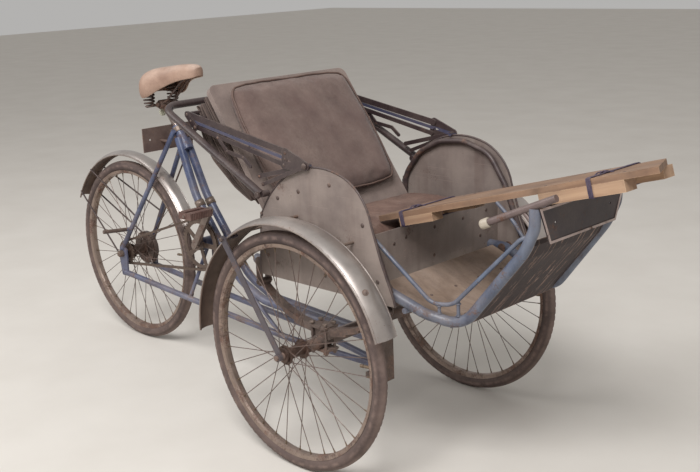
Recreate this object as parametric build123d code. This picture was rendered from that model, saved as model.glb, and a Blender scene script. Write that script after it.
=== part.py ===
"""Cycle rickshaw: a passenger box carried between two front wheels, steered as one unit about an
upright kingpin by the rider behind it, who drives a single rear wheel through a chain.

Millimetres. While it is modelled, x runs forward from the front axle, y to the vehicle's left and
z up from the ground. On export everything moves forward by FRONT_AXLE_X, which puts the origin on
the ground under the middle of the whole vehicle.
"""

from build123d import *

import os
from math import asin, atan2, cos, floor, hypot, pi, radians, sin

# Overall layout
FRONT_AXLE_X = 316.4
WHEELBASE = 1248.0
FRONT_TRACK = 740.0
WHEEL_R = 333.0
KINGPIN_X = -45.0

# Clearances
BEARING_PLAY = 0.05
SEAT_GAP = 0.3
FACE_GAP = 1.0

# Wheels
TYRE_HALF_WIDTH = 19.0
TYRE_SHOULDER_DROP = 21.0
RIM_DEPTH = 13.0
RIM_HALF_WIDTH = 14.0
RIM_SHEET = 2.4
SPOKES_PER_WHEEL = 36
SPOKE_CROSSES = 3
SPOKE_R = 1.2
SPOKE_RIM_OFFSET = 2.5
FLANGE_R = 27.0
FLANGE_THICK = 3.0
SPOKE_HOLE_R = 22.0
HUB_CUP = 4.0

FRONT_HUB_HALF = 40.0
FRONT_HUB_FLANGE_Y = 30.0
FRONT_HUB_R = 16.0
STUB_AXLE_R = 7.0
REAR_HUB_HALF = 56.0
REAR_HUB_FLANGE_Y = 26.0
REAR_HUB_R = 19.0
REAR_AXLE_R = 6.0
DROPOUT_INNER_Y = 62.0
DROPOUT_THICK = 6.0
DRUM_R = 56.0
DRUM_Y = (30.0, 54.0)
DRUM_WALL = 4.0
BAND_GAP = 1.5

# Chain drive, on the vehicle's right
CHAIN_PITCH = 12.7
CHAINRING_TEETH = 44
SPROCKET_TEETH = 20
CHAINLINE_Y = -46.0
CHAINRING_THICK = 3.0
TOOTH_TIP = 3.2
CRANK_FORWARD = 444.0
CRANK_Z = 433.0
CRANK_LENGTH = 165.0
CRANK_REST_DEG = 55.0
CRANK_INNER_Y = 64.0
CRANK_THICK = 12.0
PEDAL_SPINDLE_R = 5.0
PEDAL_LENGTH = 88.0
PEDAL_WIDTH = 64.0
PEDAL_BAR = 22.0
PEDAL_BARREL_R = 9.0

# Mudguards
FRONT_GUARD_GAP = 37.0
FRONT_GUARD_WIDTH = 79.0
FRONT_GUARD_ARC = (18.0, 181.0)
REAR_GUARD_GAP = 39.0
REAR_GUARD_WIDTH = 58.0
REAR_GUARD_ARC = (23.0, 153.0)
GUARD_SHEET = 1.6
GUARD_CROWN = 13.0
GUARD_BEAD_R = 3.0

# Axle beam, springs and kingpin
AXLE_BEAM_R = 17.0
HUB_SHOULDER = 8.0
STAY_THICK = 4.0
SPRING_HALF_SPAN = 235.0
SPRING_EYE_Z = 462.0
SPRING_PAD = 6.0
SPRING_LEAF = 5.0
SPRING_EYE_R = 11.0
SPRING_PIN_R = 5.0
SPRING_LEAVES = 4
U_BOLT_R = 4.0
KINGPIN_R = 12.0
HEAD_R = 22.0
HEAD_Z = (150.0, 292.0)
LUG_THICK = 18.0

# Carriage frame and footwell
SIDE_TUBE_R = 14.0
FOOT_RAIL_R = 5.5
FOOT_POST_R = 4.5
NOSE_Y = 180.0
BOX_Z = 525.0
FLOOR_Z = 466.0
NOSE_X = 640.0
NOSE_TOP_Z = 777.0
FRONT_PLATE_HOLES = 240.0
REAR_PLATE_HOLES = 150.0
PLATE_HOLE_R = 3.5

# Passenger box
BOX_HALF = 296.0
PANEL_SHEET = 2.0
HOOP_R = 8.0
PANEL_FOOT_Z = 500.0
FRONT_PANEL_X = 180.0
SEAT_BOARD_Z = 585.0
SEAT_BOARD = 15.0
CUSHION_TOP = 660.0
BEARER_X = (-140.0, 130.0)
BEARER_WIDTH = 26.0
BACK_FOOT = (-125.0, 596.0)
BACK_TOP = (-412.0, 1012.0)
BACK_BOARD = 18.0
BACK_CUSHION = 48.0

# Hood
HOOD_PIVOT = (12.0, 829.0)
HOOD_KNEE = (-62.0, 858.0)
HOOD_ARM_END = (-475.0, 930.0)
HOOD_BAR_THICK = 4.0
HOOD_BOW_R = 7.0
PUSH_BAR_R = 11.0
PUSH_BAR_REACH = -570.0
PUSH_BAR_Z = 948.0

# Foot plank
PLANK_REAR = (119.0, 680.0)
PLANK_LENGTH = 838.0
PLANK_PITCH_DEG = 15.2
PLANK_WIDTH = 215.0
PLANK_THICK = 15.0
PLANK_Y = -40.0

# Rider's frame
MAIN_TUBE_R = 14.0
MAIN_TUBE_Y = 22.0
LOWER_RAIL_R = 10.0
LOWER_RAIL_Y = 60.0
STAY_R = 8.5
SEAT_TUBE_DEG = 53.8
SEAT_TUBE_LENGTH = 93.0
SEAT_TUBE_R = 17.0
SEAT_POST_LENGTH = 90.0
SEAT_POST_R = 12.5
BOTTOM_BRACKET_R = 21.0
BOTTOM_BRACKET_HALF = 35.0

# Sizes that follow from the ones above
REAR_X = -WHEELBASE
WHEEL_Y = FRONT_TRACK / 2
RIM_FLANGE_R = WHEEL_R - 33
RIM_INNER_R = RIM_FLANGE_R - RIM_DEPTH
FRONT_GUARD_R = WHEEL_R + FRONT_GUARD_GAP
REAR_GUARD_R = WHEEL_R + REAR_GUARD_GAP
AXLE_BEAM_END_Y = WHEEL_Y - FRONT_HUB_HALF - HUB_SHOULDER
STAY_PLATE_Y = WHEEL_Y + FRONT_HUB_HALF + HUB_SHOULDER
STUB_END_Y = STAY_PLATE_Y + 18
SEAT_Y = BOX_HALF - 38
HALF_WAY_Y = (SEAT_Y + NOSE_Y) / 2
HOOD_HALF_WIDTH = BOX_HALF - 26
CRANK_X = REAR_X + CRANK_FORWARD
SEAT_TUBE_FOOT = (REAR_X + 355, 742.0)
SEAT_STAY_FOOT = Vector(REAR_X + 2, DROPOUT_INNER_Y + 4, WHEEL_R + 19)
SEAT_STAY_TOP = Vector(SEAT_TUBE_FOOT[0] - 37, 26, 806)
MAIN_RISE = ((-640.0, 336.0), (CRANK_X - 34, 590.0))
LEVER_FOOT = (SEAT_TUBE_FOOT[0] - 37, 50, 770)
FROM_BASE = (Align.CENTER, Align.CENTER, Align.MIN)


def rod(start, end, radius):
    """A round bar from one point to another."""
    run = Vector(*end) - Vector(*start)
    return Plane(origin=start, z_dir=run) * Cylinder(radius, run.length, align=FROM_BASE)


def knob(start, end, radius):
    """A round-edged knob on the far end of a bar, about the bar's own axis."""
    run = Vector(*end) - Vector(*start)
    turned = Cylinder(radius, 2 * radius)
    return Plane(origin=end, z_dir=run) * fillet(turned.edges().filter_by(GeomType.CIRCLE), radius / 2)


def bent_tube(points, radii, radius):
    """A round tube along straight runs joined by arcs, one bend radius for each corner."""
    path = FilletPolyline(*points, radius=radii)
    return sweep(Plane(origin=path @ 0, z_dir=path % 0) * Circle(radius), path=path)


def flat_bar(start, end, width, thick, normal):
    """A flat bar with round ends, from one hole's centre to the other, facing along normal."""
    run = Vector(*end) - Vector(*start)
    middle = (Vector(*start) + Vector(*end)) * 0.5
    face = Plane(origin=middle, x_dir=run, z_dir=normal)
    return face * extrude(SlotCenterToCenter(run.length, width), thick / 2, both=True)


def across(outline, y_low, y_high):
    """An outline drawn in x and z, given thickness from y_low to y_high."""
    return Plane(origin=(0, y_high, 0), x_dir=(1, 0, 0), z_dir=(0, -1, 0)) * extrude(
        outline, y_high - y_low
    )


def both_sides(piece):
    """The piece and its mirror image on the vehicle's other side."""
    return Compound(children=[*piece.solids(), *mirror(piece, about=Plane.XZ).solids()])


def other_side(piece):
    return mirror(piece, about=Plane.XZ)


def on_arc(centre, radius, angle_deg, y):
    """The point at an angle above the forward horizontal on a wheel's circle."""
    angle = radians(angle_deg)
    return (centre[0] + radius * cos(angle), y, centre[1] + radius * sin(angle))


# Wheels. Each turns about its own y axis and is drawn as a section of radius against y.


def tyre():
    bead_r = RIM_FLANGE_R - 3.7
    bead_y = RIM_HALF_WIDTH - RIM_SHEET - SEAT_GAP
    shoulder = (WHEEL_R - TYRE_SHOULDER_DROP, TYRE_HALF_WIDTH)
    wall_foot = (RIM_FLANGE_R + 1.0, RIM_HALF_WIDTH)
    half = [(bead_r, bead_y - 1.4), (RIM_FLANGE_R + SEAT_GAP, bead_y), wall_foot, shoulder]
    low = [(r, -y) for r, y in half]
    section = make_face(
        Polyline(*low)
        + ThreePointArc(low[-1], (WHEEL_R, 0), half[-1])
        + Polyline(*reversed(half))
        + Line(half[0], low[0])
    )
    return revolve(section, Axis.Y)


def rim():
    bed_r = RIM_INNER_R + RIM_SHEET + 1
    half = [
        (RIM_INNER_R, 6),
        (RIM_INNER_R + 2.5, RIM_HALF_WIDTH - 2),
        (RIM_FLANGE_R, RIM_HALF_WIDTH),
        (RIM_FLANGE_R, RIM_HALF_WIDTH - RIM_SHEET),
        (bed_r + 3, RIM_HALF_WIDTH - 4.5),
        (bed_r, 5),
    ]
    outline = half + [(r, -y) for r, y in reversed(half)]
    return revolve(make_face(Polyline(*outline, close=True)), Axis.Y)


def spokes(flange_y):
    """Tangential lacing: alternate spokes of a flange lean either way and cross their neighbours."""
    per_side = SPOKES_PER_WHEEL // 2
    step = 360 / per_side
    lean = SPOKE_CROSSES * step
    rim_r = RIM_INNER_R - SEAT_GAP
    beside_flange = FLANGE_THICK / 2 + SPOKE_R - 0.4
    laced = []
    for side in (-1, 1):
        for hole in range(per_side):
            way = 1 if hole % 2 else -1
            at_hub = radians(hole * step + (step / 2 if side > 0 else 0))
            at_rim = at_hub + radians(way * lean)
            hub_y = side * flange_y + way * beside_flange
            head = (SPOKE_HOLE_R * cos(at_hub), hub_y, SPOKE_HOLE_R * sin(at_hub))
            nipple = (rim_r * cos(at_rim), side * SPOKE_RIM_OFFSET, rim_r * sin(at_rim))
            run = Vector(*nipple) - Vector(*head)
            wire = extrude(RegularPolygon(SPOKE_R, 6), run.length)
            laced.append(Plane(origin=head, z_dir=run) * wire)
    return laced


def laced_hub(half_length, flange_y, barrel_r, bore_r):
    barrel = Cylinder(barrel_r, 2 * half_length)
    for side in (-1, 1):
        barrel += Pos(0, 0, side * flange_y) * Cylinder(FLANGE_R, FLANGE_THICK)
        cup = Cylinder(barrel_r + HUB_CUP, half_length - flange_y - 3)
        barrel += Pos(0, 0, side * (half_length + flange_y + 3) / 2) * cup
    hub = Rot(90, 0, 0) * barrel
    hub = hub.fuse(*spokes(flange_y))
    return hub - Rot(90, 0, 0) * Cylinder(bore_r + BEARING_PLAY, 3 * half_length)


def toothed_disc(teeth, thick, bore_r):
    """A sprocket for the chain, its teeth cut straight-sided, turning about y."""
    pitch_r = CHAIN_PITCH / (2 * sin(pi / teeth))
    tip_r = pitch_r + TOOTH_TIP
    root_r = pitch_r - 3.6
    step = 2 * pi / teeth
    corners = [(root_r, -0.30), (tip_r, -0.10), (tip_r, 0.10), (root_r, 0.30)]
    outline = [
        (r * cos((tooth + turn) * step), r * sin((tooth + turn) * step))
        for tooth in range(teeth)
        for r, turn in corners
    ]
    disc = extrude(make_face(Polyline(*outline, close=True)), thick / 2, both=True)
    return disc - Cylinder(bore_r, 4 * thick)


def brake_drum():
    """Pressed drum on the rear hub's left end, open on its outer side."""
    inner, outer = DRUM_Y
    drum = Pos(0, 0, (inner + outer) / 2) * Cylinder(DRUM_R, outer - inner)
    hollow_r = DRUM_R - DRUM_WALL
    drum -= Pos(0, 0, (inner + outer) / 2 + DRUM_WALL) * Cylinder(hollow_r, outer - inner)
    drum -= Cylinder(REAR_HUB_R + HUB_CUP + SEAT_GAP, 4 * outer)
    return Rot(-90, 0, 0) * drum


# Front carriage: axle beam, kingpin, springs


def axle_beam():
    beam = rod((0, -AXLE_BEAM_END_Y, WHEEL_R), (0, AXLE_BEAM_END_Y, WHEEL_R), AXLE_BEAM_R)
    beam += rod((0, -STUB_END_Y, WHEEL_R), (0, STUB_END_Y, WHEEL_R), STUB_AXLE_R)
    inner_face = WHEEL_Y - FRONT_HUB_HALF - FACE_GAP
    outer_face = WHEEL_Y + FRONT_HUB_HALF + FACE_GAP
    for side in (-1, 1):
        beam += rod((0, side * AXLE_BEAM_END_Y, WHEEL_R), (0, side * inner_face, WHEEL_R), 11)
        beam += rod((0, side * outer_face, WHEEL_R), (0, side * STAY_PLATE_Y, WHEEL_R), 11)
    return beam


def kingpin_bracket(beam):
    """A forged C below the axle beam, holding the kingpin through both its arms."""
    low, high = HEAD_Z
    top = high + FACE_GAP + LUG_THICK
    bottom = low - FACE_GAP - LUG_THICK
    rear = KINGPIN_X - HEAD_R - 4
    web_x = KINGPIN_X + HEAD_R + 8
    front = web_x + 16
    outline = Polyline(
        (rear, bottom),
        (front, bottom),
        (front, WHEEL_R - 4),
        (front - 30, WHEEL_R - 4),
        (rear, top),
        (rear, high + FACE_GAP),
        (web_x, high + FACE_GAP),
        (web_x, low - FACE_GAP),
        (rear, low - FACE_GAP),
        close=True,
    )
    bracket = across(make_face(outline), -24, 24)
    bracket += rod((KINGPIN_X, 0, bottom - 14), (KINGPIN_X, 0, top), KINGPIN_R)
    bracket += Pos(KINGPIN_X, 0, bottom - 8) * extrude(RegularPolygon(19, 6), 8)
    return bracket - beam


def leaf_spring(beam):
    """Half-elliptic pack on the left: each bowed leaf shorter than the one above, rolled eyes,
    and a pair of U-bolts that clamp the pack and its top plate down on the axle beam."""
    seat_z = WHEEL_R + AXLE_BEAM_R + SPRING_PAD
    pack_depth = SPRING_LEAF * SPRING_LEAVES
    rise = SPRING_EYE_Z - seat_z - pack_depth
    bend_r = (SPRING_HALF_SPAN**2 + rise**2) / (2 * rise)
    centre_z = SPRING_EYE_Z - rise + bend_r
    half_width = SIDE_TUBE_R - SEAT_GAP
    y_low, y_high = SEAT_Y - half_width, SEAT_Y + half_width
    pack = None
    for leaf in range(SPRING_LEAVES):
        half_angle = asin(SPRING_HALF_SPAN * (1 - 0.2 * leaf) / bend_r)
        upper, lower = [
            [(r * sin(a), centre_z - r * cos(a)) for a in (-half_angle, 0, half_angle)]
            for r in (bend_r + leaf * SPRING_LEAF, bend_r + (leaf + 1) * SPRING_LEAF)
        ]
        outline = (
            ThreePointArc(*upper)
            + Line(upper[2], lower[2])
            + ThreePointArc(*reversed(lower))
            + Line(lower[0], upper[0])
        )
        strip = across(make_face(outline), y_low, y_high)
        pack = strip if pack is None else pack + strip
    for end in (-1, 1):
        eye = end * SPRING_HALF_SPAN
        pack += rod((eye, y_low, SPRING_EYE_Z), (eye, y_high, SPRING_EYE_Z), SPRING_EYE_R)
        pack -= rod(
            (eye, y_low - 1, SPRING_EYE_Z),
            (eye, y_high + 1, SPRING_EYE_Z),
            SPRING_PIN_R + BEARING_PLAY,
        )
    pad = Pos(0, SEAT_Y, seat_z - SPRING_PAD - 4) * Box(
        70, 2 * half_width, SPRING_PAD + 5, align=FROM_BASE
    )
    clamp_top = seat_z + pack_depth
    clamp_foot = WHEEL_R - AXLE_BEAM_R - SEAT_GAP - SPRING_PAD
    for z in (clamp_top - 1, clamp_foot):
        pad += Pos(0, SEAT_Y, z) * Box(66, 50, SPRING_PAD, align=FROM_BASE)
    leg_y = half_width + U_BOLT_R - 1
    for x in (-25, 25):
        for y in (SEAT_Y - leg_y, SEAT_Y + leg_y):
            pad += rod((x, y, clamp_foot - 12), (x, y, clamp_top + 9), U_BOLT_R)
            pad += Pos(x, y, clamp_foot - 7) * extrude(RegularPolygon(8, 6), 7)
    return pack + pad - beam


def spring_hangers(tubes):
    """Shackle plates from the side tubes down to the spring eyes, and their pins."""
    hangers = []
    for end in (-1, 1):
        x = end * SPRING_HALF_SPAN
        low, high = SEAT_Y - SIDE_TUBE_R - 4, SEAT_Y + SIDE_TUBE_R + 4
        hanger = rod((x, low, SPRING_EYE_Z), (x, high, SPRING_EYE_Z), SPRING_PIN_R)
        for y in (low + 2, high - 2):
            hanger += flat_bar((x, y, SPRING_EYE_Z), (x, y, BOX_Z), 24, 4, (0, 1, 0))
        hanger -= tubes
        hangers.extend(hanger.solids())
    return both_sides(Compound(children=hangers))


def side_path():
    """The thick tube on the left: level beside the seat, down to the floor, up to the nose."""
    return [
        (-262, SEAT_Y, BOX_Z),
        (238, SEAT_Y, BOX_Z),
        (352, HALF_WAY_Y + 18, FLOOR_Z + 12),
        (438, HALF_WAY_Y - 22, FLOOR_Z - 14),
        (NOSE_X - 28, NOSE_Y, 668),
        (NOSE_X, NOSE_Y, 728),
        (NOSE_X, NOSE_Y, NOSE_TOP_Z),
    ]


def side_tube():
    return bent_tube(side_path(), [90, 90, 70, 150, 60], SIDE_TUBE_R)


def foot_rail():
    """The thin tube on the left that follows the thick one a hand's breadth above it."""
    points = [
        (206, SEAT_Y, 652),
        (270, SEAT_Y - 4, 602),
        (368, HALF_WAY_Y + 10, 506),
        (420, HALF_WAY_Y - 8, 508),
        (600, NOSE_Y + 2, 696),
        (620, NOSE_Y, 706),
    ]
    rail = bent_tube(points, [60, 50, 50, 40], FOOT_RAIL_R)
    posts = ((385, HALF_WAY_Y + 3, 470, 507), (432, HALF_WAY_Y - 14, 468, 520))
    for x, y, low, high in posts:
        rail += rod((x, y, low), (x, y, high), FOOT_POST_R)
    rail += rod((620, NOSE_Y, 706), (NOSE_X, NOSE_Y, 706), FOOT_POST_R)
    return rail


def cross_tubes(tubes):
    """Round bars between the side tubes: two under the seat, two under the floor, two at the nose."""
    bars = []
    for x, z, radius, half in (
        (-204, BOX_Z, 11, SEAT_Y),
        (158, BOX_Z, 11, SEAT_Y),
        (300, 480, 8, SEAT_Y),
        (412, 453, 8, HALF_WAY_Y - 10),
        (NOSE_X, 771, 8, NOSE_Y - 8),
    ):
        bars.append(rod((x, -half, z), (x, half, z), radius) - tubes)
    inner = [bar.solids().sort_by(Axis.Y) for bar in bars]
    return Compound(children=[pieces[len(pieces) // 2] for pieces in inner])


# Footwell


def footwell_sheet(top_line, plan, thick):
    """A board between the side tubes: bent along top_line (x, z), cut to half widths (x, y)."""
    lower = [(x, z - thick) for x, z in reversed(top_line)]
    slab = across(make_face(Polyline(*top_line, *lower, close=True)), -SEAT_Y, SEAT_Y)
    edge = [*plan, *[(x, -y) for x, y in reversed(plan)]]
    return slab & Pos(0, 0, 300) * extrude(make_face(Polyline(*edge, close=True)), 700)


def footwell_floor(bars, tubes):
    top_line = [(206, 530), (352, 476), (440, 464)]
    plan = [
        (206, SEAT_Y - 21),
        (256, SEAT_Y - 22),
        (262, SEAT_Y - 8),
        (352, HALF_WAY_Y + 9),
        (440, NOSE_Y + 10),
    ]
    floor = footwell_sheet(top_line, plan, 10) - bars - tubes
    return floor.solids().sort_by(SortBy.VOLUME)[-1]


def front_board(tubes):
    """Dark board from the floor up to the nose, with slats along its outer face."""
    thick = 14
    top_line = [(440, 466), (598, 655), (618, 690)]
    plan = [(440, NOSE_Y + 8), (598, NOSE_Y - 2), (640, NOSE_Y - 2)]
    board = footwell_sheet(top_line, plan, thick)
    slat = [(448, 475 - thick), (598, 655 - thick), (614, 682 - thick)]
    outline = Polyline(*slat, *[(x, z - 9) for x, z in reversed(slat)], close=True)
    for place in (-0.78, -0.42, 0, 0.42, 0.78):
        y = place * NOSE_Y
        board += across(make_face(outline), y - 11, y + 11)
    return (board - tubes).solids().sort_by(SortBy.VOLUME)[-1]


def front_plate():
    """Blank board across the nose, narrower below, with a raised rim and two fixing holes."""
    wide, narrow = NOSE_Y + 6, NOSE_Y - 36
    outline = make_face(
        Polyline((-wide, 778), (wide, 778), (narrow, 687), (-narrow, 687), close=True)
    )
    back = Plane(origin=(NOSE_X + SIDE_TUBE_R, 0, 0), x_dir=(0, 1, 0), z_dir=(1, 0, 0))
    plate = back * extrude(outline, 3)
    plate += back * extrude(outline - offset(outline, -6), 5)
    for side in (-1, 1):
        y = side * FRONT_PLATE_HOLES / 2
        plate -= rod((NOSE_X, y, 735), (NOSE_X + 40, y, 735), PLATE_HOLE_R)
    return plate


def grab_rod(tubes):
    """Short rod on the left above the side tube's top, with a rounded tip at its rear end."""
    y = NOSE_Y + 3
    bar = rod((500, y, 722), (700, y, 809), 9)
    bar += knob((700, y, 809), (500, y, 722), 12)
    bar += rod((608, y, 769), (NOSE_X - 4, NOSE_Y + 2, 738), 5)
    return bar - tubes


# Passenger box


def side_panel():
    """Sheet side of the box: low at the nose, arched armrest, raked rear edge."""
    edge = (
        Line((-200, PANEL_FOOT_Z), (-186, 668))
        + ThreePointArc((-186, 668), (-118, 758), (-60, 800))
        + ThreePointArc((-60, 800), (40, 828), (118, 820))
        + ThreePointArc((118, 820), (190, 780), (232, 700))
        + Polyline((232, 700), (262, 610), (300, 520), (306, PANEL_FOOT_Z), (-200, PANEL_FOOT_Z))
    )
    return across(make_face(edge), BOX_HALF, BOX_HALF + PANEL_SHEET)


def armrest_hoop():
    """The tube inside the panel's upper edge, which carries the hood's pivot."""
    y = BOX_HALF - HOOP_R - SEAT_GAP
    corners = [(-176, 560), (-166, 690), (-106, 766), (-26, 806), (64, 814), (158, 786), (214, 700), (282, 530)]
    return bent_tube([(x, y, z) for x, z in corners], [90, 90, 90, 90, 90, 90], HOOP_R)


def seat_front_panel(tubes, hoops, rails):
    width = 2 * (BOX_HALF - SEAT_GAP)
    panel = Pos(FRONT_PANEL_X, 0, PANEL_FOOT_Z - 3) * Box(3, width, 158, align=FROM_BASE)
    return (panel - tubes - hoops - rails).solids().sort_by(SortBy.VOLUME)[-1]


def seat_bearers(hoops):
    """Wooden bearers across the side tubes, carrying the seat board and the sheet sides."""
    foot = BOX_Z + SIDE_TUBE_R
    width = 2 * (BOX_HALF - SEAT_GAP)
    bearers = []
    for x in BEARER_X:
        bearer = Pos(x, 0, foot) * Box(BEARER_WIDTH, width, SEAT_BOARD_Z - foot, align=FROM_BASE)
        bearers.append((bearer - hoops).solids().sort_by(SortBy.VOLUME)[-1])
    return Compound(children=bearers)


def seat_board():
    rear = BACK_FOOT[0] + 14
    front = FRONT_PANEL_X - 2
    return Pos((rear + front) / 2, 0, SEAT_BOARD_Z) * Box(
        front - rear, 2 * BOX_HALF - 50, SEAT_BOARD, align=FROM_BASE
    )


def seat_cushion():
    low = SEAT_BOARD_Z + SEAT_BOARD + SEAT_GAP
    rear, front = BACK_FOOT[0] + 8, FRONT_PANEL_X - 6
    pad = Pos((rear + front) / 2, 0, low) * Box(
        front - rear, 2 * BOX_HALF - 54, CUSHION_TOP - low, align=FROM_BASE
    )
    return fillet(pad.edges().filter_by(Axis.Z), 30)


def back_plane(forward_by):
    """The backrest's slope, as a plane with x up the slope and z forward, and its length."""
    rise = Vector(BACK_TOP[0] - BACK_FOOT[0], 0, BACK_TOP[1] - BACK_FOOT[1])
    forward = Vector(rise.Z, 0, -rise.X).normalized()
    foot = Vector(BACK_FOOT[0], 0, BACK_FOOT[1]) + forward * forward_by
    return Plane(origin=foot, x_dir=rise, z_dir=forward), rise.length


def backrest_board():
    plane, length = back_plane(0)
    board = Pos(length / 2, 0) * RectangleRounded(length, 2 * BOX_HALF - 40, 24)
    return plane * extrude(board, -BACK_BOARD)


def backrest_cushion():
    plane, length = back_plane(SEAT_GAP)
    face = Pos(length / 2 + 36, 0) * RectangleRounded(length - 80, 2 * BOX_HALF - 60, 30)
    return plane * extrude(face, BACK_CUSHION)


# Hood and push bar


def hood_arms():
    """Left arms, folded back: three parallel flat bars joined by riveted end plates, the pivot
    plate, a pair of links below it and the bent catch that hangs from the lowest bar."""
    y = BOX_HALF + PANEL_SHEET + 4
    plate_y = y + HOOD_BAR_THICK
    knee_x, knee_z = HOOD_KNEE
    rear_x, rear_z = HOOD_ARM_END
    pivot = (HOOD_PIVOT[0], HOOD_PIVOT[1])
    drop = (knee_x - 8, knee_z - 34)
    rear_drop = (rear_x + 34, rear_z - 34)
    catch = [(-340, 874), (-304, 838), (-236, 828), (-208, 806)]
    bars = [
        (HOOD_KNEE, HOOD_ARM_END, 18, y),
        ((knee_x - 2, knee_z - 17), (rear_x + 16, rear_z - 17), 9, y),
        (drop, rear_drop, 13, y),
        (HOOD_KNEE, drop, 20, plate_y),
        (HOOD_ARM_END, rear_drop, 20, plate_y),
        (HOOD_KNEE, pivot, 26, plate_y),
        (drop, pivot, 20, plate_y),
        (pivot, (-176, 782), 13, y),
        (pivot, (-158, 762), 11, plate_y),
        *[(a, b, 11, plate_y) for a, b in zip(catch, catch[1:])],
    ]
    arms = [
        flat_bar((a[0], level, a[1]), (b[0], level, b[1]), width, HOOD_BAR_THICK, (0, 1, 0))
        for a, b, width, level in bars
    ]
    pin = rod((pivot[0], BOX_HALF - HOOP_R, pivot[1]), (pivot[0], plate_y + 6, pivot[1]), 6)
    return pin.fuse(*arms)


def hood_bows(arms):
    """Round bows between the arms' rear ends, folded close together."""
    bows = []
    end = HOOD_BAR_THICK + BOX_HALF
    for x, z in ((0, 0), (6, -32), (32, -14)):
        place = (HOOD_ARM_END[0] + x, HOOD_ARM_END[1] + z)
        bow = rod((place[0], -end, place[1]), (place[0], end, place[1]), HOOD_BOW_R)
        bows.append((bow - arms).solids().sort_by(SortBy.VOLUME)[-1])
    return Compound(children=bows)


def folded_hood(bows, board):
    """The hood's cloth, bundled round its bows and hanging down the backrest's rear."""
    outline = Polyline(
        (-440, 985),
        (-478, 974),
        (-512, 935),
        (-482, 850),
        (-446, 780),
        (-352, 716),
        (-240, 676),
        (-204, 668),
        close=True,
    )
    return across(make_face(outline), -HOOD_HALF_WIDTH, HOOD_HALF_WIDTH) - bows - board


def push_bar():
    """The rider's steering bar: one bent tube behind the hood, bolted to the box's sides."""
    y = BOX_HALF + PANEL_SHEET + 3 * HOOD_BAR_THICK + PUSH_BAR_R + 2
    foot_x, foot_z = -150, 738
    points = [
        (foot_x, -y, foot_z),
        (PUSH_BAR_REACH, -y, PUSH_BAR_Z),
        (PUSH_BAR_REACH, y, PUSH_BAR_Z),
        (foot_x, y, foot_z),
    ]
    bar = bent_tube(points, [50, 50], PUSH_BAR_R)
    for side in (-1, 1):
        edge = side * (BOX_HALF + PANEL_SHEET)
        bar += rod((foot_x, edge, foot_z), (foot_x, side * y, foot_z), 9)
    return bar


# Foot plank


def plank_plane():
    """The plank's top face: x along the plank, z up out of it."""
    pitch = radians(PLANK_PITCH_DEG)
    return Plane(
        origin=(PLANK_REAR[0], PLANK_Y, PLANK_REAR[1]),
        x_dir=(cos(pitch), 0, sin(pitch)),
        z_dir=(-sin(pitch), 0, cos(pitch)),
    )


def foot_plank():
    half = PLANK_WIDTH / 2
    outline = Polyline(
        (0, -half), (PLANK_LENGTH, -half), (PLANK_LENGTH - 100, half), (0, half), close=True
    )
    return plank_plane() * extrude(make_face(outline), -PLANK_THICK)


def plank_battens(bars, plate):
    """Battens along the plank's underside: one before the seat, one resting on the nose."""
    battens = []
    for start, end, thick, width in ((70, 186, 22, 40), (520, 750, 28, 46)):
        for edge in (-1, 1):
            y = edge * (PLANK_WIDTH - width) / 2
            batten = Pos((start + end) / 2, y, -PLANK_THICK - thick / 2) * Box(
                end - start, width, thick
            )
            batten = plank_plane() * batten - bars - plate
            battens.append(batten.solids().sort_by(SortBy.VOLUME)[-1])
    return Compound(children=battens)


def plank_lashings():
    """Cord bound round the plank and its battens."""
    loops = []
    for at, thick in ((84, 22), (663, 28)):
        width, height = PLANK_WIDTH, PLANK_THICK + thick
        loop = Box(13, width + 9, height + 9) - Box(14, width + 1, height + 1)
        loops.append(plank_plane() * (Pos(at, 0, -height / 2) * loop))
    return Compound(children=[loop for piece in loops for loop in piece.solids()])


# Rider's frame


def up_seat_tube(distance):
    lean = radians(SEAT_TUBE_DEG)
    x, z = SEAT_TUBE_FOOT
    return (x - distance * cos(lean), 0, z + distance * sin(lean))


def head_barrel():
    low, high = HEAD_Z
    return rod((KINGPIN_X, 0, low), (KINGPIN_X, 0, high), HEAD_R)


def main_tubes():
    """Head tube, seat tube and the twin tubes that join them, level below the box and then up."""
    seat_tube = rod(up_seat_tube(0), up_seat_tube(SEAT_TUBE_LENGTH), SEAT_TUBE_R)
    points = [
        (KINGPIN_X - 10, MAIN_TUBE_Y * 0.6, 258),
        (-520, MAIN_TUBE_Y, 284),
        (MAIN_RISE[0][0], MAIN_TUBE_Y, MAIN_RISE[0][1]),
        (MAIN_RISE[1][0], MAIN_TUBE_Y, MAIN_RISE[1][1]),
        (SEAT_TUBE_FOOT[0] - 29, MAIN_TUBE_Y * 0.7, 782),
    ]
    tube = bent_tube(points, [160, 160, 200], MAIN_TUBE_R)
    frame = head_barrel() + seat_tube + tube + other_side(tube)
    low, high = HEAD_Z
    bore = rod((KINGPIN_X, 0, low - 9), (KINGPIN_X, 0, high + 9), KINGPIN_R + BEARING_PLAY)
    return frame - bore


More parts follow.
